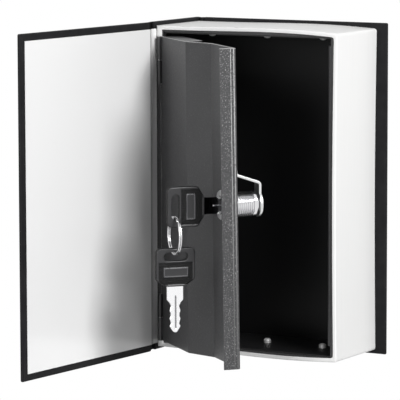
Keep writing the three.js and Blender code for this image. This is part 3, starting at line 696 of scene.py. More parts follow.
# %% Front joint
def smooth_line(points, steps):
    """A soft curve through a few points: a chain of Bezier corners between their midpoints."""
    points = [np.array(p, float) for p in points]
    share = np.linspace(0, 1, steps)[:, None]
    mids = [(a + b) / 2 for a, b in zip(points, points[1:])]
    corners = [bezier(start, tip, end, share) for start, tip, end in zip(mids, points[1:], mids[1:])]
    return np.concatenate([points[0][None], *corners, points[-1][None]])


def in_book(place, x, y):
    """A local point of the strip or the cover as x and y of the book, in millimetres."""
    return ((place([x, y, 0]) - BOOK.origin) / MM)[:2]


def joint_half(name, points, turn_from, turn_to, bodies, thickness, material, margin, replaced):
    """One half of the joint's cloth or paper: a band along a smooth line through the points. The bend
    points and the bodies are not used."""
    line = smooth_line(points, 9)
    part = band(line, thickness, margin, COVER_HEIGHT - margin, thickness * 0.3)
    made = piece(name, part, BOOK, material, [replaced], rides=False)
    tuple(BOOK([*turn_from, 0]))
    tuple(BOOK([*turn_to, 0]))
    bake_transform(made)


AT_SPINE, AT_COVER = ("book", "joint_strip"), ("joint_strip", "front_cover")
CLOTH_SIDE = (CLOTH_THICK, BOOKCLOTH, CLOTH_MARGIN, "front_joint_cloth")
PAPER_SIDE = (PAPER_THICK, PAPER, PAPER_MARGIN, "front_joint_paper")
half = CLOTH_THICK / 2
before, middle, beyond = (in_book(STRIP, JOINT_WIDTH / 2 + step, half) for step in (-0.5, 0, 0.5))
joint_half(
    "front_fold_cloth_spine", [(-2.75, 0.4), (-2.78, -2.2), in_book(STRIP, 0.6, half), before, middle],
    in_book(STRIP, -0.6, 0), in_book(STRIP, 1.2, 0), AT_SPINE, *CLOTH_SIDE)
joint_half(
    "front_fold_cloth_cover",
    [middle, beyond, in_book(STRIP, JOINT_WIDTH - 0.4, half), in_book(COVER, 0.8, half + 0.03),
     in_book(COVER, 2.2, half + 0.04)],
    in_book(STRIP, JOINT_WIDTH - 1.2, 0), in_book(COVER, 0.9, 0), AT_COVER, *CLOTH_SIDE)

PAPER_BOW = np.array([-0.9, 0.0])
PAPER_LEVEL = COVER_THICK - 0.08
block_rim = np.array([0.75, -0.12])
paper_end = in_book(COVER, JOINT_GAP, PAPER_LEVEL)
paper_way = paper_end - block_rim
paper_middle = (block_rim + paper_end) / 2 + PAPER_BOW
joint_half(
    "front_fold_paper_spine", [block_rim, block_rim + paper_way * 0.25 + PAPER_BOW * 0.7, paper_middle],
    block_rim + paper_way * 0.08, block_rim + paper_way * 0.42, AT_SPINE, *PAPER_SIDE)
joint_half(
    "front_fold_paper_cover",
    [paper_middle, block_rim + paper_way * 0.75 + PAPER_BOW * 0.7, paper_end,
     in_book(COVER, 1.8, PAPER_LEVEL)],
    block_rim + paper_way * 0.58, block_rim + paper_way * 0.92, AT_COVER, *PAPER_SIDE)
print("front joint made in four halves")

# %% [markdown]
# The page block is a hollow shell. Its head and tail arch outwards with the crest nearer the fore-edge,
# and the fore-edge is slightly hollow, as a rounded book's is. The outline is a function of a share
# round the block and of how far into the wall it lies, so the same function gives the outside, the
# inside, and the soft rounding of the rim between them.

# %% Page block
BLOCK_LEFT, BLOCK_RIGHT = 0.6, 148.0
BLOCK_WALL, SPINE_WALL = 2.85, 4.6
HEAD_SPINE, HEAD_FORE = 237.1, 235.85
TAIL_SPINE, TAIL_FORE = 2.4, 2.9
EDGE_BULGE, BULGE_SKEW, FORE_HOLLOW = 1.5, 1.7, 1.0
CORNER_ROUND, RIM_ROUND, INNER_ROUND = 2.2, 0.9, 0.5


def page_outline(inset, spine_inset):
    """The block's outline in x and z at a depth in its wall, counted the same at every depth."""
    left, right_x = BLOCK_LEFT + spine_inset, BLOCK_RIGHT - inset

    def edges(share):
        """Heights of the tail and the head at a share of the way from the spine to the fore-edge."""
        rise = EDGE_BULGE * np.sin(math.pi * share**BULGE_SKEW)
        return (TAIL_SPINE + (TAIL_FORE - TAIL_SPINE) * share - rise + inset,
                HEAD_SPINE + (HEAD_FORE - HEAD_SPINE) * share + rise - inset)

    share = np.linspace(0, 1 - CORNER_ROUND / (right_x - left), 40)
    across = left + (right_x - left) * share
    lower, upper = (np.column_stack([across, height]) for height in edges(share))
    upper = upper[::-1]
    low, high = edges(1.0)
    ends = CORNER_ROUND / (high - low)
    climb = np.linspace(ends, 1 - ends, 40)
    hollow = right_x - FORE_HOLLOW * np.sin(math.pi * climb)
    fore = np.column_stack([hollow, low + (high - low) * climb])
    turn_share = np.linspace(0, 1, 8)[1:-1, None]
    low_corner = bezier(lower[-1], np.array([right_x, low]), fore[0], turn_share)
    high_corner = bezier(fore[-1], np.array([right_x, high]), upper[0], turn_share)
    return np.concatenate([lower, low_corner, fore, high_corner, upper])


def page_block():
    """Rows round the wall's section: outside, rounded rim, inside, and back to the start."""
    quarter = rounding(5)
    section = [(0.0, BLOCK_DEPTH), (0.0, BLOCK_DEPTH / 2)]
    section += [(inset * RIM_ROUND / BLOCK_WALL, RIM_ROUND * depth) for inset, depth in quarter]
    section += [(1 - inset * INNER_ROUND / BLOCK_WALL, INNER_ROUND * depth) for inset, depth in quarter[::-1]]
    section += [(1.0, BLOCK_DEPTH / 2), (1.0, BLOCK_DEPTH)]
    return sheet_of_rows([at_depth(page_outline(wall * BLOCK_WALL, wall * SPINE_WALL), depth)
                          for wall, depth in section], True)


piece("page_block_shell", page_block(), BOOK, PAGE, ["page_shell"], 50.0)
print("page block:", len(page_outline(0, 0)), "points round")

# %% [markdown]
# The front frame of the box is a flat plate that follows the block's rim outside and the box's square
# mouth inside. Every point of its inner edge is the outer point pushed into the mouth's rectangle, so
# the two edges match one to one. Beside the hinge it folds back into a flange that carries two
# knuckles. A thin dark lip fills the gap beside the hinge and stands in for the shade there. The
# frame's darker coat is painted shade.

# %% Front frame, strike channel and hinge
MOUTH = np.array([[6.7, 5.95], [143.05, 232.8]])
FRAME_FRONT, FRAME_BACK, FRAME_SOFT = 0.3, 1.3, 0.15
HINGE_X, HINGE_Y = 4.4, -2.2
KNUCKLE, BORE, PIN = 1.7, 1.05, 0.95
DOOR_TAIL, DOOR_HEAD = 7.4, 229.6
KNUCKLE_LONG, KNUCKLE_GAP = 17.0, 0.3
FOLD_LEFT, FOLD_RIGHT = 5.7, 6.7
FOLD_BACK, FOLD_TAIL, FOLD_HEAD = 12.0, 6.0, 232.7
TAB_FRONT, TAB_BACK = HINGE_Y + 0.6, HINGE_Y + 1.6
LIP_LEFT, LIP_FRONT, LIP_BACK = 1.3, -0.45, -0.1
SEAT_LEFT, SEAT_FRONT = 2.9, -0.9


def frame_plate():
    """Rows round the plate's section: its outer edge, its front and its inner edge."""
    outer = page_outline(BLOCK_WALL + 0.3, SPINE_WALL + 0.3)
    inner = np.clip(outer, MOUTH[0], MOUTH[1])
    broken = outer + (inner - outer) * FRAME_SOFT
    section = ((outer, FRAME_BACK), (outer, FRAME_FRONT + FRAME_SOFT), (broken, FRAME_FRONT),
               (inner, FRAME_FRONT), (inner, FRAME_BACK))
    return sheet_of_rows([at_depth(outline, depth) for outline, depth in section], True)


def tube(bore, radius, low, high, steps=40, soft=0.2):
    """A tube about the hinge's axis with its rims broken, or a pin when there is no bore."""
    profile = [(bore, low), (radius - soft, low), (radius, low + soft), (radius, high - soft),
               (radius - soft, high), (bore, high)]
    return upright(turned(profile, steps, bore > 0))


def hinge_spans():
    """Where the door's and the box's knuckles start and end, head pair first."""
    step = KNUCKLE_LONG + KNUCKLE_GAP
    head, tail = DOOR_HEAD - KNUCKLE_LONG, DOOR_TAIL + KNUCKLE_LONG
    door = [(head, DOOR_HEAD), (DOOR_TAIL, tail)]
    return door, [(head - step, DOOR_HEAD - step), (DOOR_TAIL + step, tail + step)]


DOOR_KNUCKLES, BOX_KNUCKLES = hinge_spans()
frame_parts = [
    frame_plate(),
    rounded_box([FOLD_LEFT, FRAME_BACK - 0.05, FOLD_TAIL], [FOLD_RIGHT, FOLD_BACK, FOLD_HEAD], 0.12, 2),
    # The lip is a dark strip that stands in for the shade beside the hinge.
    rounded_box([LIP_LEFT, LIP_FRONT, DOOR_TAIL], [HINGE_X, LIP_BACK, DOOR_HEAD], 0.08, 2),
]
for low, high in BOX_KNUCKLES:
    start, end = low + 0.05, high - 0.05
    frame_parts += [
        rounded_box([SEAT_LEFT, SEAT_FRONT, start], [HINGE_X - 0.1, LIP_BACK, end], 0.08, 2),
        moved(tube(BORE, KNUCKLE, low, high), HINGE_X, HINGE_Y),
        rounded_box([HINGE_X, TAB_FRONT, start], [FOLD_RIGHT, TAB_BACK, end], 0.1, 2),
        rounded_box([FOLD_LEFT, TAB_FRONT, start], [FOLD_RIGHT, FRAME_BACK + 0.1, end], 0.1, 2),
    ]
# The frame wears the darker coat, which is painted shade.
piece("door_frame", frame_parts, BOOK, SHADED_FRAME_COAT, ["front_frame"])

STRIKE_X, STRIKE_Y, STRIKE_SHEET = 140.4, 2.0, 1.0
STRIKE_TAIL, STRIKE_HEAD = 14.0, 227.0
strike_line = bent_line(
    [(142.6, STRIKE_Y + 11.9), (142.4, STRIKE_Y), (STRIKE_X, STRIKE_Y), (STRIKE_X, STRIKE_Y + 14.1)], 0.9)
strike = band(strike_line, STRIKE_SHEET, STRIKE_TAIL, STRIKE_HEAD, 0.2)
piece("strike_lip", strike, BOOK, COAT, ["strike_channel"])

for name, low, high in (("top", BOX_KNUCKLES[0][0], DOOR_KNUCKLES[0][1]),
                        ("bottom", DOOR_KNUCKLES[1][0], BOX_KNUCKLES[1][1])):
    pin = moved(tube(0, PIN, low, high, 32), HINGE_X, HINGE_Y)
    piece(f"pin_{name}", pin, BOOK, ZINC, [f"hinge_pin_{name}"])
print("frame, strike lip and pins made")

# %% [markdown]
# The steel box keeps its CAD shape, because its faces are flat and its corners are folded sharp. Six
# domed rivets hold it in the page block, three in the ceiling and three in the floor.


# %% Box and rivets
def dress(node, material):
    """Gives a CAD node that keeps its shape its finish."""
    slots = frame["nodes"][node].data.materials
    slots.clear()
    slots.append(material)


dress("steel_box", ENAMEL)
RIVET_MIDDLE, RIVET_STEP = 75.4, 45.5
RIVET_HALF, RIVET_RISE, RIVET_WALL = 2.75, 1.9, 1.5
NECK_HALF, NECK_LONG = 1.2, 2.5
BOX_CEILING, BOX_FLOOR = 231.9, 6.85
neck = [(RIVET_HALF, 0.02), (NECK_HALF, 0.0), (NECK_HALF, -NECK_LONG), (0, -NECK_LONG)]
points, faces = upright(turned(np.concatenate([dome(RIVET_HALF, RIVET_RISE, RIVET_WALL, 9), neck])))
for i in range(3):
    for name, seat, way in (("top", BOX_CEILING, -1), ("bottom", BOX_FLOOR, 1)):
        along = RIVET_MIDDLE + RIVET_STEP * (i - 1)
        rivet = moved((points * [1, 1, way], faces), along, BLOCK_DEPTH / 2, seat)
        node = f"box_rivet_{name}_{i + 1}"
        piece(node.replace("box_rivet", "rivet"), rivet, BOOK, RIVET_ZINC, [node])
print("six rivets set")

# %% [markdown]
# The door is one sheet of steel bent three times: a flat hinge side, a ramp, a sunk floor that carries
# the lock, and a wall that comes back to the front at the free edge. Two beads are rolled into that
# wall. The sheet is a line with rounded bends and a thickness, carried from the bottom to the top; the
# beads are two small humps added to its outer face. Two flanges close the hinge side above and below.

# %% Door
DOOR_REACH, DOOR_OUTER, DOOR_FLOOR, DOOR_SHEET = 133.0, 1.0, 12.2, 1.0
CREASE_R, FLOOR_R, NOTCH_R, FOLD_ROUND = 58.2, 81.5, 2.8, 1.6
FLANGE_START, FLANGE_DEPTH, FLANGE_SOFT = 4.3, 15.0, 0.15
BEADS, BEAD_RISE, BEAD_SPREAD, BEAD_CREST = np.array([8.9, 11.2]), 0.5, 0.5, 0.27
TWIST, DOOR_BREAK = 1.6, 0.3


def door_sheet():
    """The bent line with a wall fine enough for the beads; a bead's height is a bell curve."""
    outer, floor_y = DOOR_OUTER + DOOR_SHEET / 2, DOOR_FLOOR + DOOR_SHEET / 2
    wall = DOOR_REACH - DOOR_SHEET / 2
    line = bent_line([(NOTCH_R, outer), (CREASE_R, outer), (FLOOR_R, floor_y), (wall, floor_y),
                      (wall, DOOR_OUTER)], FOLD_ROUND, 6)
    fine = np.linspace(floor_y - FOLD_ROUND - 0.1, DOOR_OUTER, 60)[1:]
    line = np.concatenate([line[:-1], np.column_stack([np.full(len(fine), wall), fine])])
    bell = np.exp(-(((line[:, 1:] - BEADS) / BEAD_SPREAD) ** 2)).sum(axis=1)
    stand = BEAD_RISE * bell * (line[:, 0] > wall - 0.01)
    return band(line, DOOR_SHEET, DOOR_TAIL, DOOR_HEAD, DOOR_BREAK, stand[:, None])


def door_flange(low):
    """A shelf behind the flat side with its inner corner cut on a slant."""
    near, far, deep, front = FLANGE_START, CREASE_R, FLANGE_DEPTH, DOOR_OUTER + 0.5
    points = np.array([(near, front), (far, front), (far - 6, deep), (near + 3, deep), (near, deep - 3)])
    drawn, high = drawn_in(points, FLANGE_SOFT), low + DOOR_SHEET
    section = (drawn, low), (points, low + FLANGE_SOFT), (points, high - FLANGE_SOFT), (drawn, high)
    return sheet_of_rows([at_height(outline, level) for outline, level in section])


def lean(height):
    """How far the free edge leans out at a height: the twist times the share of the half height."""
    return TWIST * ((DOOR_HEAD + DOOR_TAIL) / 2 - height) / ((DOOR_HEAD - DOOR_TAIL) / 2)


def twisted(parts):
    """A door made by hand is never quite flat: its free edge leans out at the top and in at the bottom.
    A point moves by the lean at its height times its share of the reach."""
    points, faces = parts
    return points + (lean(points[:, 2]) * points[:, 0] / DOOR_REACH)[:, None] * [0, 1, 0], faces


def door():
    """The sheet, its two flanges, and its knuckles. Where there is no knuckle of the frame, a strip
    carries the sheet on towards the pin."""
    parts = [door_flange(DOOR_TAIL), door_flange(DOOR_HEAD - DOOR_SHEET), door_sheet()]
    box_top, box_bottom = BOX_KNUCKLES
    back = DOOR_OUTER + DOOR_SHEET
    for low, high in (*DOOR_KNUCKLES, (box_bottom[1] + KNUCKLE_GAP, box_top[0] - KNUCKLE_GAP)):
        parts.append(rounded_box([0.3, DOOR_OUTER, low], [NOTCH_R + 0.8, back, high], 0.15, 2))
    return [twisted(part) for part in parts] + [tube(BORE, KNUCKLE, *span) for span in DOOR_KNUCKLES]


door_piece = piece("door_sheet", door(), DOOR, COAT, ["door_panel"])
reach, depth, height = local_centres(door_piece, DOOR)
on_wall = (reach > DOOR_REACH - 0.3) & (depth < DOOR_FLOOR + TWIST)
from_bead = np.abs((depth - lean(height))[:, None] - BEADS).min(axis=1)
on_rim = (height > DOOR_HEAD - DOOR_BREAK) & (height < DOOR_HEAD - 0.02)
# The top rim and the beads' crests get the painted highlight; the rest of the free wall the coat with painted
# glints.
highlighted_there = on_rim | (on_wall & (from_bead < BEAD_CREST))
paint(door_piece, [LIT_WALL_COAT, BEAD_HIGHLIGHT_COAT], np.where(highlighted_there, 2, on_wall))
print("door made")

# %% [markdown]
# The lock is a cam lock: a bezel in front, a threaded barrel with two flats behind, and a nut that
# clamps it to the door's floor. The thread is a real one: the radius falls and rises with the height
# plus a share of the angle, and where the flat cuts deeper than the thread the flat wins.

# %% Lock
BEZEL_FACE = DOOR_FLOOR - 2.5
BEZEL, BARREL, FLAT, BARREL_END = 11.0, 8.9, 8.3, 35.3
PLUG, PLUG_PROUD = 6.0, 1.3
PITCH, THREAD = 1.5, 1.2
COLLAR, LOCK_BORE = 2.6, PLUG + 0.3


def thread_surface(low, high, steps=120):
    """Radius at each height and angle: a rounded saw along the helix, limited by the two flats."""
    height = np.linspace(low, high, int((high - low) / PITCH * 10))
    turn_grid, level = np.meshgrid(circle(steps), height)
    phase = level / PITCH - turn_grid / (2 * math.pi)
    groove = THREAD * (0.5 - 0.5 * np.cos(2 * math.pi * phase)) ** 1.3
    runout = unit((high - COLLAR - level) / 0.4) * unit((level - low) / 0.6)
    radius = BARREL - groove * runout - 0.5 * unit(1 - (high - level) / 0.6)
    radius = np.minimum(radius, FLAT / np.maximum(np.abs(np.cos(turn_grid)), 1e-6))
    inner = about_y(LOCK_BORE, turn_grid[:2], np.array([[high], [low]]))
    return sheet_of_rows(np.concatenate([about_y(radius, turn_grid, level), inner]), True)


bezel = turned([(LOCK_BORE, BEZEL_FACE + 0.3), (PLUG + 0.6, BEZEL_FACE), (BEZEL - 1.3, BEZEL_FACE),
                (BEZEL - 0.5, BEZEL_FACE + 0.35), (BEZEL, BEZEL_FACE + 1.1), (BEZEL, DOOR_FLOOR + 0.2),
                (LOCK_BORE, DOOR_FLOOR + 0.2)], 96, True)
housing = [bezel, thread_surface(DOOR_FLOOR - 0.4, BARREL_END)]
body = piece("lock_body", housing, LOCK, NICKEL, ["lock_housing"], 40.0)
paint(body, [BEZEL_NICKEL], local_centres(body, LOCK)[1] < DOOR_FLOOR)


def hex_nut(across, low, high, bore, steps=96):
    """A six-sided nut: the outline's radius is the flat's distance over the cosine from its middle.
    A circle cuts its corners off, a little further at both ends."""
    angle = circle(steps)
    from_flat = (angle + math.pi / 6) % (math.pi / 3) - math.pi / 6
    hexagon, limit = across / 2 / np.cos(from_flat), across / 2 * 1.1
    ends, middle = np.minimum(hexagon, limit * 0.97), np.minimum(hexagon, limit * 1.03)
    section = ((ends, low), (middle, low + 0.5), (middle, high - 0.5), (ends, high),
               (np.full(steps, bore), high), (np.full(steps, bore), low))
    return sheet_of_rows([about_y(radius, angle, level) for radius, level in section], True)


NUT_ACROSS, NUT_START, NUT_END = 22.0, DOOR_FLOOR + 1.3, DOOR_FLOOR + 5.3
nut = hex_nut(NUT_ACROSS, NUT_START, NUT_END, BARREL + 0.1)
piece("lock_ring_nut", nut, LOCK, ZINC, ["lock_nut"])
dress("lock_plug", NICKEL)
for i in range(5):
    dress(f"lock_wafer_{i + 1}", BRASS)
print("lock made")

# %% [markdown]
# The cam is a flat bar bent twice, so that its tab reaches behind the strike lip. It is swept along its
# bent middle line. Its width follows the round hub first and then stays even, and a rounded section
# gives it the soft edges of a stamped and tumbled part.

# %% Cam
CAM_THICK, CAM_WIDE, HUB = 1.9, 10.0, 9.2
CAM_MID = BARREL_END + PLUG_PROUD + 0.3 + CAM_THICK / 2
CAM_BEND, CAM_STEP, CAM_REACH, CAM_TAB = 15.0, 21.0, 32.9, 20.2
CAM_CORNER, CAM_SOFT = 1.6, 0.4
SCREW_HALF, SCREW_RISE, SCREW_NECK, SCREW_LONG = 4.0, 0.9, 1.7, 6.0


def cam():
    """Rows along the bent line; each is a rounded bar section whose width depends on the way gone."""
    corners = [(-HUB, CAM_MID), (CAM_BEND, CAM_MID), (CAM_STEP, CAM_TAB), (CAM_REACH, CAM_TAB)]
    line = bent_line(corners, 2.2, 8)
    flat_part = np.linspace(-HUB, 11.0, 40)
    line = np.concatenate([np.column_stack([flat_part, np.full(40, CAM_MID)]), line[1:]])
    height, half_wide = line[:, 0], CAM_WIDE / 2
    hub_half = np.sqrt(np.maximum(HUB**2 - height**2, 0.05))
    half_width = np.where(height < 0, hub_half, np.maximum(hub_half, half_wide))
    half_width = np.where(height > HUB * 0.83, half_wide, half_width)
    tip = unit((CAM_REACH - height) / CAM_CORNER)
    tab_half = half_wide - CAM_CORNER + CAM_CORNER * np.sqrt(1 - (1 - tip) ** 2)
    half_width = np.where(height > CAM_STEP + 4, tab_half, half_width)[:, None]
    around = np.array([np.cos(circle(24)), np.sin(circle(24))])
    across, over = np.sign(around) * np.minimum(np.abs(around) * 1.6, 1)
    x = across * (half_width - CAM_SOFT) + CAM_SOFT * around[0]
    lift = over * (CAM_THICK / 2 - CAM_SOFT) + CAM_SOFT * around[1]
    z, y = line.T[:, :, None] + line_normals(line).T[:, :, None] * lift
    return sheet_of_rows(np.stack([x, y, z], -1))


screw_seat = CAM_MID + CAM_THICK / 2 + 0.1
screw = np.concatenate([
    dome(SCREW_HALF, SCREW_RISE, screw_seat, 8),
    [(SCREW_HALF - 0.1, screw_seat - 0.05), (SCREW_NECK, screw_seat - 0.05),
     (SCREW_NECK, screw_seat - SCREW_LONG), (0, screw_seat - SCREW_LONG)],
])
piece("cam_bar", cam(), LOCK, ZINC, ["lock_cam"], 30.0)
piece("cam_rivet", turned(screw), LOCK, ZINC, ["cam_screw"])
print("cam made")

# %% [markdown]
# Both keys are one shape. The bow is black plastic moulded round the metal: its outline runs round the
# outside, a slot near its end takes the ring, and the surface between the two is a ring of rows, so
# every edge can be rounded. A sunk, stippled panel with a raised bar frame makes the grip. The metal
# part is a plate whose half-width and thickness are functions of the way along it: shoulder, cuts on
# both sides, a milled groove, and a point.

# %% Keys
BOW_LONG, BOW_HALF, BOW_THICK = 26.8, 14.15, 5.0
BOW_END_HALF, BOW_ROUND, BOW_SOFT = 6.6, 3.2, 1.1
SLOT_WIDE, SLOT_LONG, SLOT_START, SLOT_SOFT = 6.0, 17.5, 2.7, 0.8
PANEL = (9.7, BOW_LONG - 1.2, 12.5)
BARS, PATCH = (13.5, 20.1, 8.9), (14.3, 19.3, 8.1)
SHANK_LONG, SHANK_HALF, TANG_LONG = 11.6, 5.9, 8.2
BLADE_LONG, BLADE_HALF, KEY_THICK = 20.5, 3.8, 2.1
BLADE_START = BOW_LONG + SHANK_LONG
BLADE_TIP = BLADE_START + BLADE_LONG
SHOULDER_LONG, POINT_LONG, CUT_DEEP = 2.2, 4.0, 1.1
GROOVE_START, GROOVE_AT, GROOVE_DEEP = BOW_LONG + SHANK_LONG * 0.55, 0.1, 0.5
KEY_START = BEZEL_FACE - 0.3 - SHANK_LONG - BOW_LONG
RING_N = KEY_START + SLOT_START + SLOT_WIDE / 2
RING_INNER, RING_RADIAL = 11.9, 1.7
bar_height = BOW_HALF - SLOT_LONG / 2
BAR_CENTRE = BOW_HALF - bar_height / 2
RING_TOP = math.hypot(BOW_THICK / 2 - 1.2, bar_height / 2 - 1.2) + 1.2 + 0.3
RING_CENTRE = -BAR_CENTRE + RING_TOP - RING_INNER
SPARE_TOP = RING_CENTRE - RING_INNER + 0.55 + SLOT_START
KEY = LOCK.inner([0, KEY_START, 0], [0, 1, 0], [0, 0, 1], [1, 0, 0])
SPARE = LOCK.inner([0, RING_N, SPARE_TOP], [0, 0, -1], [0, 1, 0], [1, 0, 0])


def even_loop(corners, count):
    """Points spaced evenly round a closed line, starting at its first corner."""
    closed = np.concatenate([corners, corners[:1]])
    length = np.concatenate([[0], np.cumsum(np.linalg.norm(np.diff(closed, axis=0), axis=1))])
    at = np.linspace(0, 1, count, endpoint=False) * length[-1]
    return np.column_stack([np.interp(at, length, closed[:, 0]), np.interp(at, length, closed[:, 1])])


def bow_loops(count):
    """The bow's outline and its slot's, matched point by point. Both start on the middle line."""
    shoulder = BOW_LONG * 0.83
    corners = [(0, 0), (0, BOW_HALF), (shoulder, BOW_HALF), (BOW_LONG, BOW_END_HALF),
               (BOW_LONG, -BOW_END_HALF), (shoulder, -BOW_HALF), (0, -BOW_HALF), (0, 0)]
    outer = bent_line(corners, BOW_ROUND, 10)[:-1]
    reach, straight = SLOT_WIDE / 2, SLOT_LONG / 2 - SLOT_WIDE / 2
    slot = [[(SLOT_START, 0.0)]]
    for sign, start, end in ((1, math.pi, 0), (-1, 0, -math.pi)):
        a = np.linspace(start, end, 16)
        x, y = SLOT_START + reach + reach * np.cos(a), sign * straight + reach * np.sin(a)
        slot.append(np.column_stack([x, y]))
    return even_loop(outer, count), even_loop(np.concatenate(slot), count)


def bow_height(a, b):
    """Half-thickness of the bow: full at the rims, sunk in the grip panel, with a raised bar frame."""
    def inside(rectangle, soft):
        start, end, half = rectangle
        edge = np.minimum(np.minimum(a - start, end - a), half - np.abs(b))
        return unit(edge / soft + 0.5)

    bars = inside(BARS, 0.4) - inside(PATCH, 0.4)
    return BOW_THICK / 2 - 0.4 * inside(PANEL, 0.5) + 0.35 * bars + 0.12 * inside(PATCH, 0.4)


def key_bow():
    """Rows from the outline to the slot on the upper side, and back on the lower side. A row lies at a
    share of the way and drops where an edge is rounded."""
    outer, inner = bow_loops(144)
    wide = np.linalg.norm(outer - inner, axis=1)
    quarter = rounding(5)
    start, end = BOW_SOFT / wide, 1 - SLOT_SOFT / wide
    levels = [(BOW_SOFT * inset / wide, BOW_SOFT * depth) for inset, depth in quarter]
    levels += [(start + (end - start) * share, 0.0) for share in np.linspace(0, 1, 34)[1:-1]]
    levels += [(1 - SLOT_SOFT * inset / wide, SLOT_SOFT * depth) for inset, depth in quarter[::-1]]
    upper = []
    for share, drop in levels:
        spot = outer * (1 - share[:, None]) + inner * share[:, None]
        upper.append(np.column_stack([spot, bow_height(*spot.T) - drop]))
    return sheet_of_rows(upper + [row * [1, 1, -1] for row in upper[::-1]], True)


def blade_half(a):
    """Half-width along the metal: shank, slanted shoulder, wavy cuts, and a rounded point."""
    slope = unit((BLADE_START - a) / SHOULDER_LONG)
    width = BLADE_HALF + (SHANK_HALF - BLADE_HALF) * slope
    way = (a - BLADE_START) / (BLADE_LONG - POINT_LONG)
    wave = np.sin(math.pi * 3 * way) ** 2 * (0.75 + 0.25 * np.sin(math.pi * 7 * way))
    width = np.where((way > 0) & (way < 1), width - CUT_DEEP * wave, width)
    point = unit((BLADE_TIP - a) / POINT_LONG)
    return np.where(way >= 1, BLADE_HALF * (0.2 + 0.8 * point**0.8), width)


def key_metal():
    """Two faces of a plate over the way along and across it, with broken edges and a milled groove."""
    a = np.linspace(BOW_LONG - TANG_LONG, BLADE_TIP, 220)[:, None]
    across = np.linspace(-1, 1, 65)
    half_width = blade_half(a)
    b = half_width * across
    edge = unit((1 - np.abs(across)) * half_width / 0.35)
    groove_on = unit((a - GROOVE_START) / 1.2) * unit((BLADE_TIP - 1.5 - a) / 1.5)
    groove = GROOVE_DEEP * unit((0.62 - np.abs(b - GROOVE_AT)) / 0.2) * groove_on
    upper = np.stack([a + 0 * b, b, KEY_THICK / 2 - 0.3 * (1 - edge) - groove], -1)
    return sheet_of_rows(np.concatenate([upper, upper[:, ::-1] * [1, 1, -1]], axis=1))


def one_key(prefix, place, metal):
    """A key's metal with its groove, and its bow with grip finish, sides painted dark as shade and bars
    painted light as a highlight.
    """
    plate = piece(f"{prefix}_metal", key_metal(), place, metal, [f"{prefix}_blade"], 30.0)
    a, b, _ = local_centres(plate, place)
    # The groove's own metal colour is painted shade in the recess on the spare and a painted glint on the key
    # in the lock.
    paint(plate, [GROOVE_SHADE_AND_GLINT_METAL], (np.abs(b - GROOVE_AT) < 0.45) & (a > GROOVE_START) & (a < BLADE_TIP - 2))
    made = piece(f"{prefix}_grip", key_bow(), place, BOW_SMOOTH, [f"{prefix}_bow"], 40.0)
    a, b, lift = np.abs(local_centres(made, place))

    def covered(rectangle, grown):
        start, end, half = rectangle
        return (a > start - grown) & (a < end + grown) & (b < half + grown)

    # The rounded sides get a darker copy of the plastic as painted shade, the raised bars a lighter one as a
    # painted highlight.
    sides = lift < BOW_THICK / 2 - 0.42
    patch = covered(BARS, 0.1)
    bars = patch & (lift > BOW_THICK / 2 - 0.16)
    numbers = np.select([sides, bars, covered(PANEL, -0.2) & ~patch], [2, 3, 1], 0)
    paint(made, [BOW_STIPPLE, BOW_SHADED_EDGE, BOW_BAR_HIGHLIGHT], numbers)


# The key in the lock wears the dark nickel, a painted reflection.
one_key("key", KEY, REFLECTION_DARK_NICKEL)
one_key("spare_key", SPARE, KEY_METAL)
print(f"key bow starts {KEY_START:.1f} mm from the hinge plane")

# %% [markdown]
# A split ring is two turns of flattened wire lying side by side, with a step where one turn crosses to
# the other. The wire is a rounded section carried twice round a circle; it moves over by its own width
# during a short stretch in the middle.


# %% Split ring
WIRE_HIGH, WIRE_HALF, TURN_STEP = 0.82, 0.56, 1.22
END_GAP, CROSS_LONG, RING_START = 0.05, 0.9, 0.9


def split_ring():
    """Rows round the wire at each angle; its flattened side comes from a power of the sine."""
    last = 4 * math.pi - END_GAP
    turns = np.linspace(END_GAP, last, 240)[:, None]
    cross = unit((turns - 2 * math.pi) / CROSS_LONG + 0.5)
    shift = (cross * cross * (3 - 2 * cross) - 0.5) * TURN_STEP
    end = np.minimum(1, np.minimum(turns - END_GAP, last - turns) / END_GAP + 0.35)
    rise, go = np.sin(circle(16)), np.cos(circle(16))
    radial = RING_INNER + RING_RADIAL / 2 + WIRE_HIGH * go * end
    axial = shift + WIRE_HALF * np.sign(rise) * np.abs(rise) ** 0.7 * end
    return sheet_of_rows(about_y(radial, turns + RING_START, axial))


piece("key_ring", moved(split_ring(), 0, RING_N, RING_CENTRE), LOCK, NICKEL, ["split_ring"], 50.0)
print(f"ring hangs at {LOCK_HEIGHT + RING_CENTRE:.1f} mm")

# %% [markdown]
# The table is a white floor. To the camera, and in mirrors and glass, it and the world are pure white,
# as in a product picture. To everything else the floor is an ordinary white surface, so it still takes
# the soft contact shadow. Light comes from a soft panel high at the right and a larger one in front, a
# little to the left. The white world adds only a faint fill.

# %% Stage and light
FLOOR_SIZE, FLOOR_DROP = 6.0, 0.0004
FLOOR_GREY, WORLD_STRENGTH = 0.7, 0.06
LIGHT_TARGET = (0, -0.05, 0.12)
WHITE = (1, 1, 1, 1)

floor_mesh = bpy.data.meshes.new("floor")
corners = [(x * FLOOR_SIZE, y * FLOOR_SIZE, 0) for x, y in ((-1, -1), (1, -1), (1, 1), (-1, 1))]
floor_mesh.from_pydata(corners, [], [(0, 1, 2, 3)])
floor = add_object("floor", floor_mesh)
floor.location.z = -FLOOR_DROP


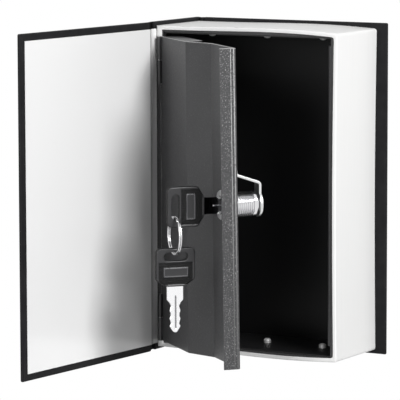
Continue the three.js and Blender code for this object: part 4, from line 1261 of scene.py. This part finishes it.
def white_to_camera(tree, lit, white_kind, output):
    """Mixes a lit shader with plain white for camera, glossy and transmission rays."""
    path = tree.nodes.new("ShaderNodeLightPath")
    seen = path.outputs["Is Camera Ray"]
    for ray in ("Is Glossy Ray", "Is Transmission Ray"):
        either = tree.nodes.new("ShaderNodeMath")
        either.operation = "MAXIMUM"
        tree.links.new(seen, either.inputs[0])
        tree.links.new(path.outputs[ray], either.inputs[1])
        seen = either.outputs[0]
    white = tree.nodes.new(white_kind)
    white.inputs["Strength"].default_value = 1.0
    white.inputs["Color"].default_value = WHITE
    mix = tree.nodes.new("ShaderNodeMixShader")
    for socket, source in enumerate((seen, lit.outputs[0], white.outputs[0])):
        tree.links.new(source, mix.inputs[socket])
    tree.links.new(mix.outputs[0], tree.nodes[output].inputs["Surface"])


floor_finish = bpy.data.materials.new("floor_white")
floor_finish.use_nodes = True
diffuse = floor_finish.node_tree.nodes.new("ShaderNodeBsdfDiffuse")
diffuse.inputs["Color"].default_value = (*grey(FLOOR_GREY), 1)
white_to_camera(floor_finish.node_tree, diffuse, "ShaderNodeEmission", "Material Output")
floor_mesh.materials.append(floor_finish)

world = bpy.data.worlds.new("white_room")
bpy.context.scene.world = world
world.use_nodes = True
background = world.node_tree.nodes["Background"]
background.inputs["Color"].default_value = WHITE
background.inputs["Strength"].default_value = WORLD_STRENGTH
white_to_camera(world.node_tree, background, "ShaderNodeBackground", "World Output")


def soft_panel(name, place_at, size, watts):
    """A square area light that looks at the book; its place and size are in metres."""
    light = bpy.data.lights.new(name, "AREA")
    light.shape = "SQUARE"
    light.size = size
    light.energy = watts
    made = add_object(name, light)
    made.location = place_at
    made.rotation_euler = (Vector(LIGHT_TARGET) - Vector(place_at)).to_track_quat("-Z", "Y").to_euler()


soft_panel("key_panel", (1.1, -0.56, 1.0), size=0.55, watts=22.4)
soft_panel("front_panel", (-0.2, -1.9, 0.6), size=1.0, watts=16)
bpy.context.scene.view_settings.view_transform = "Standard"
print("stage lit")
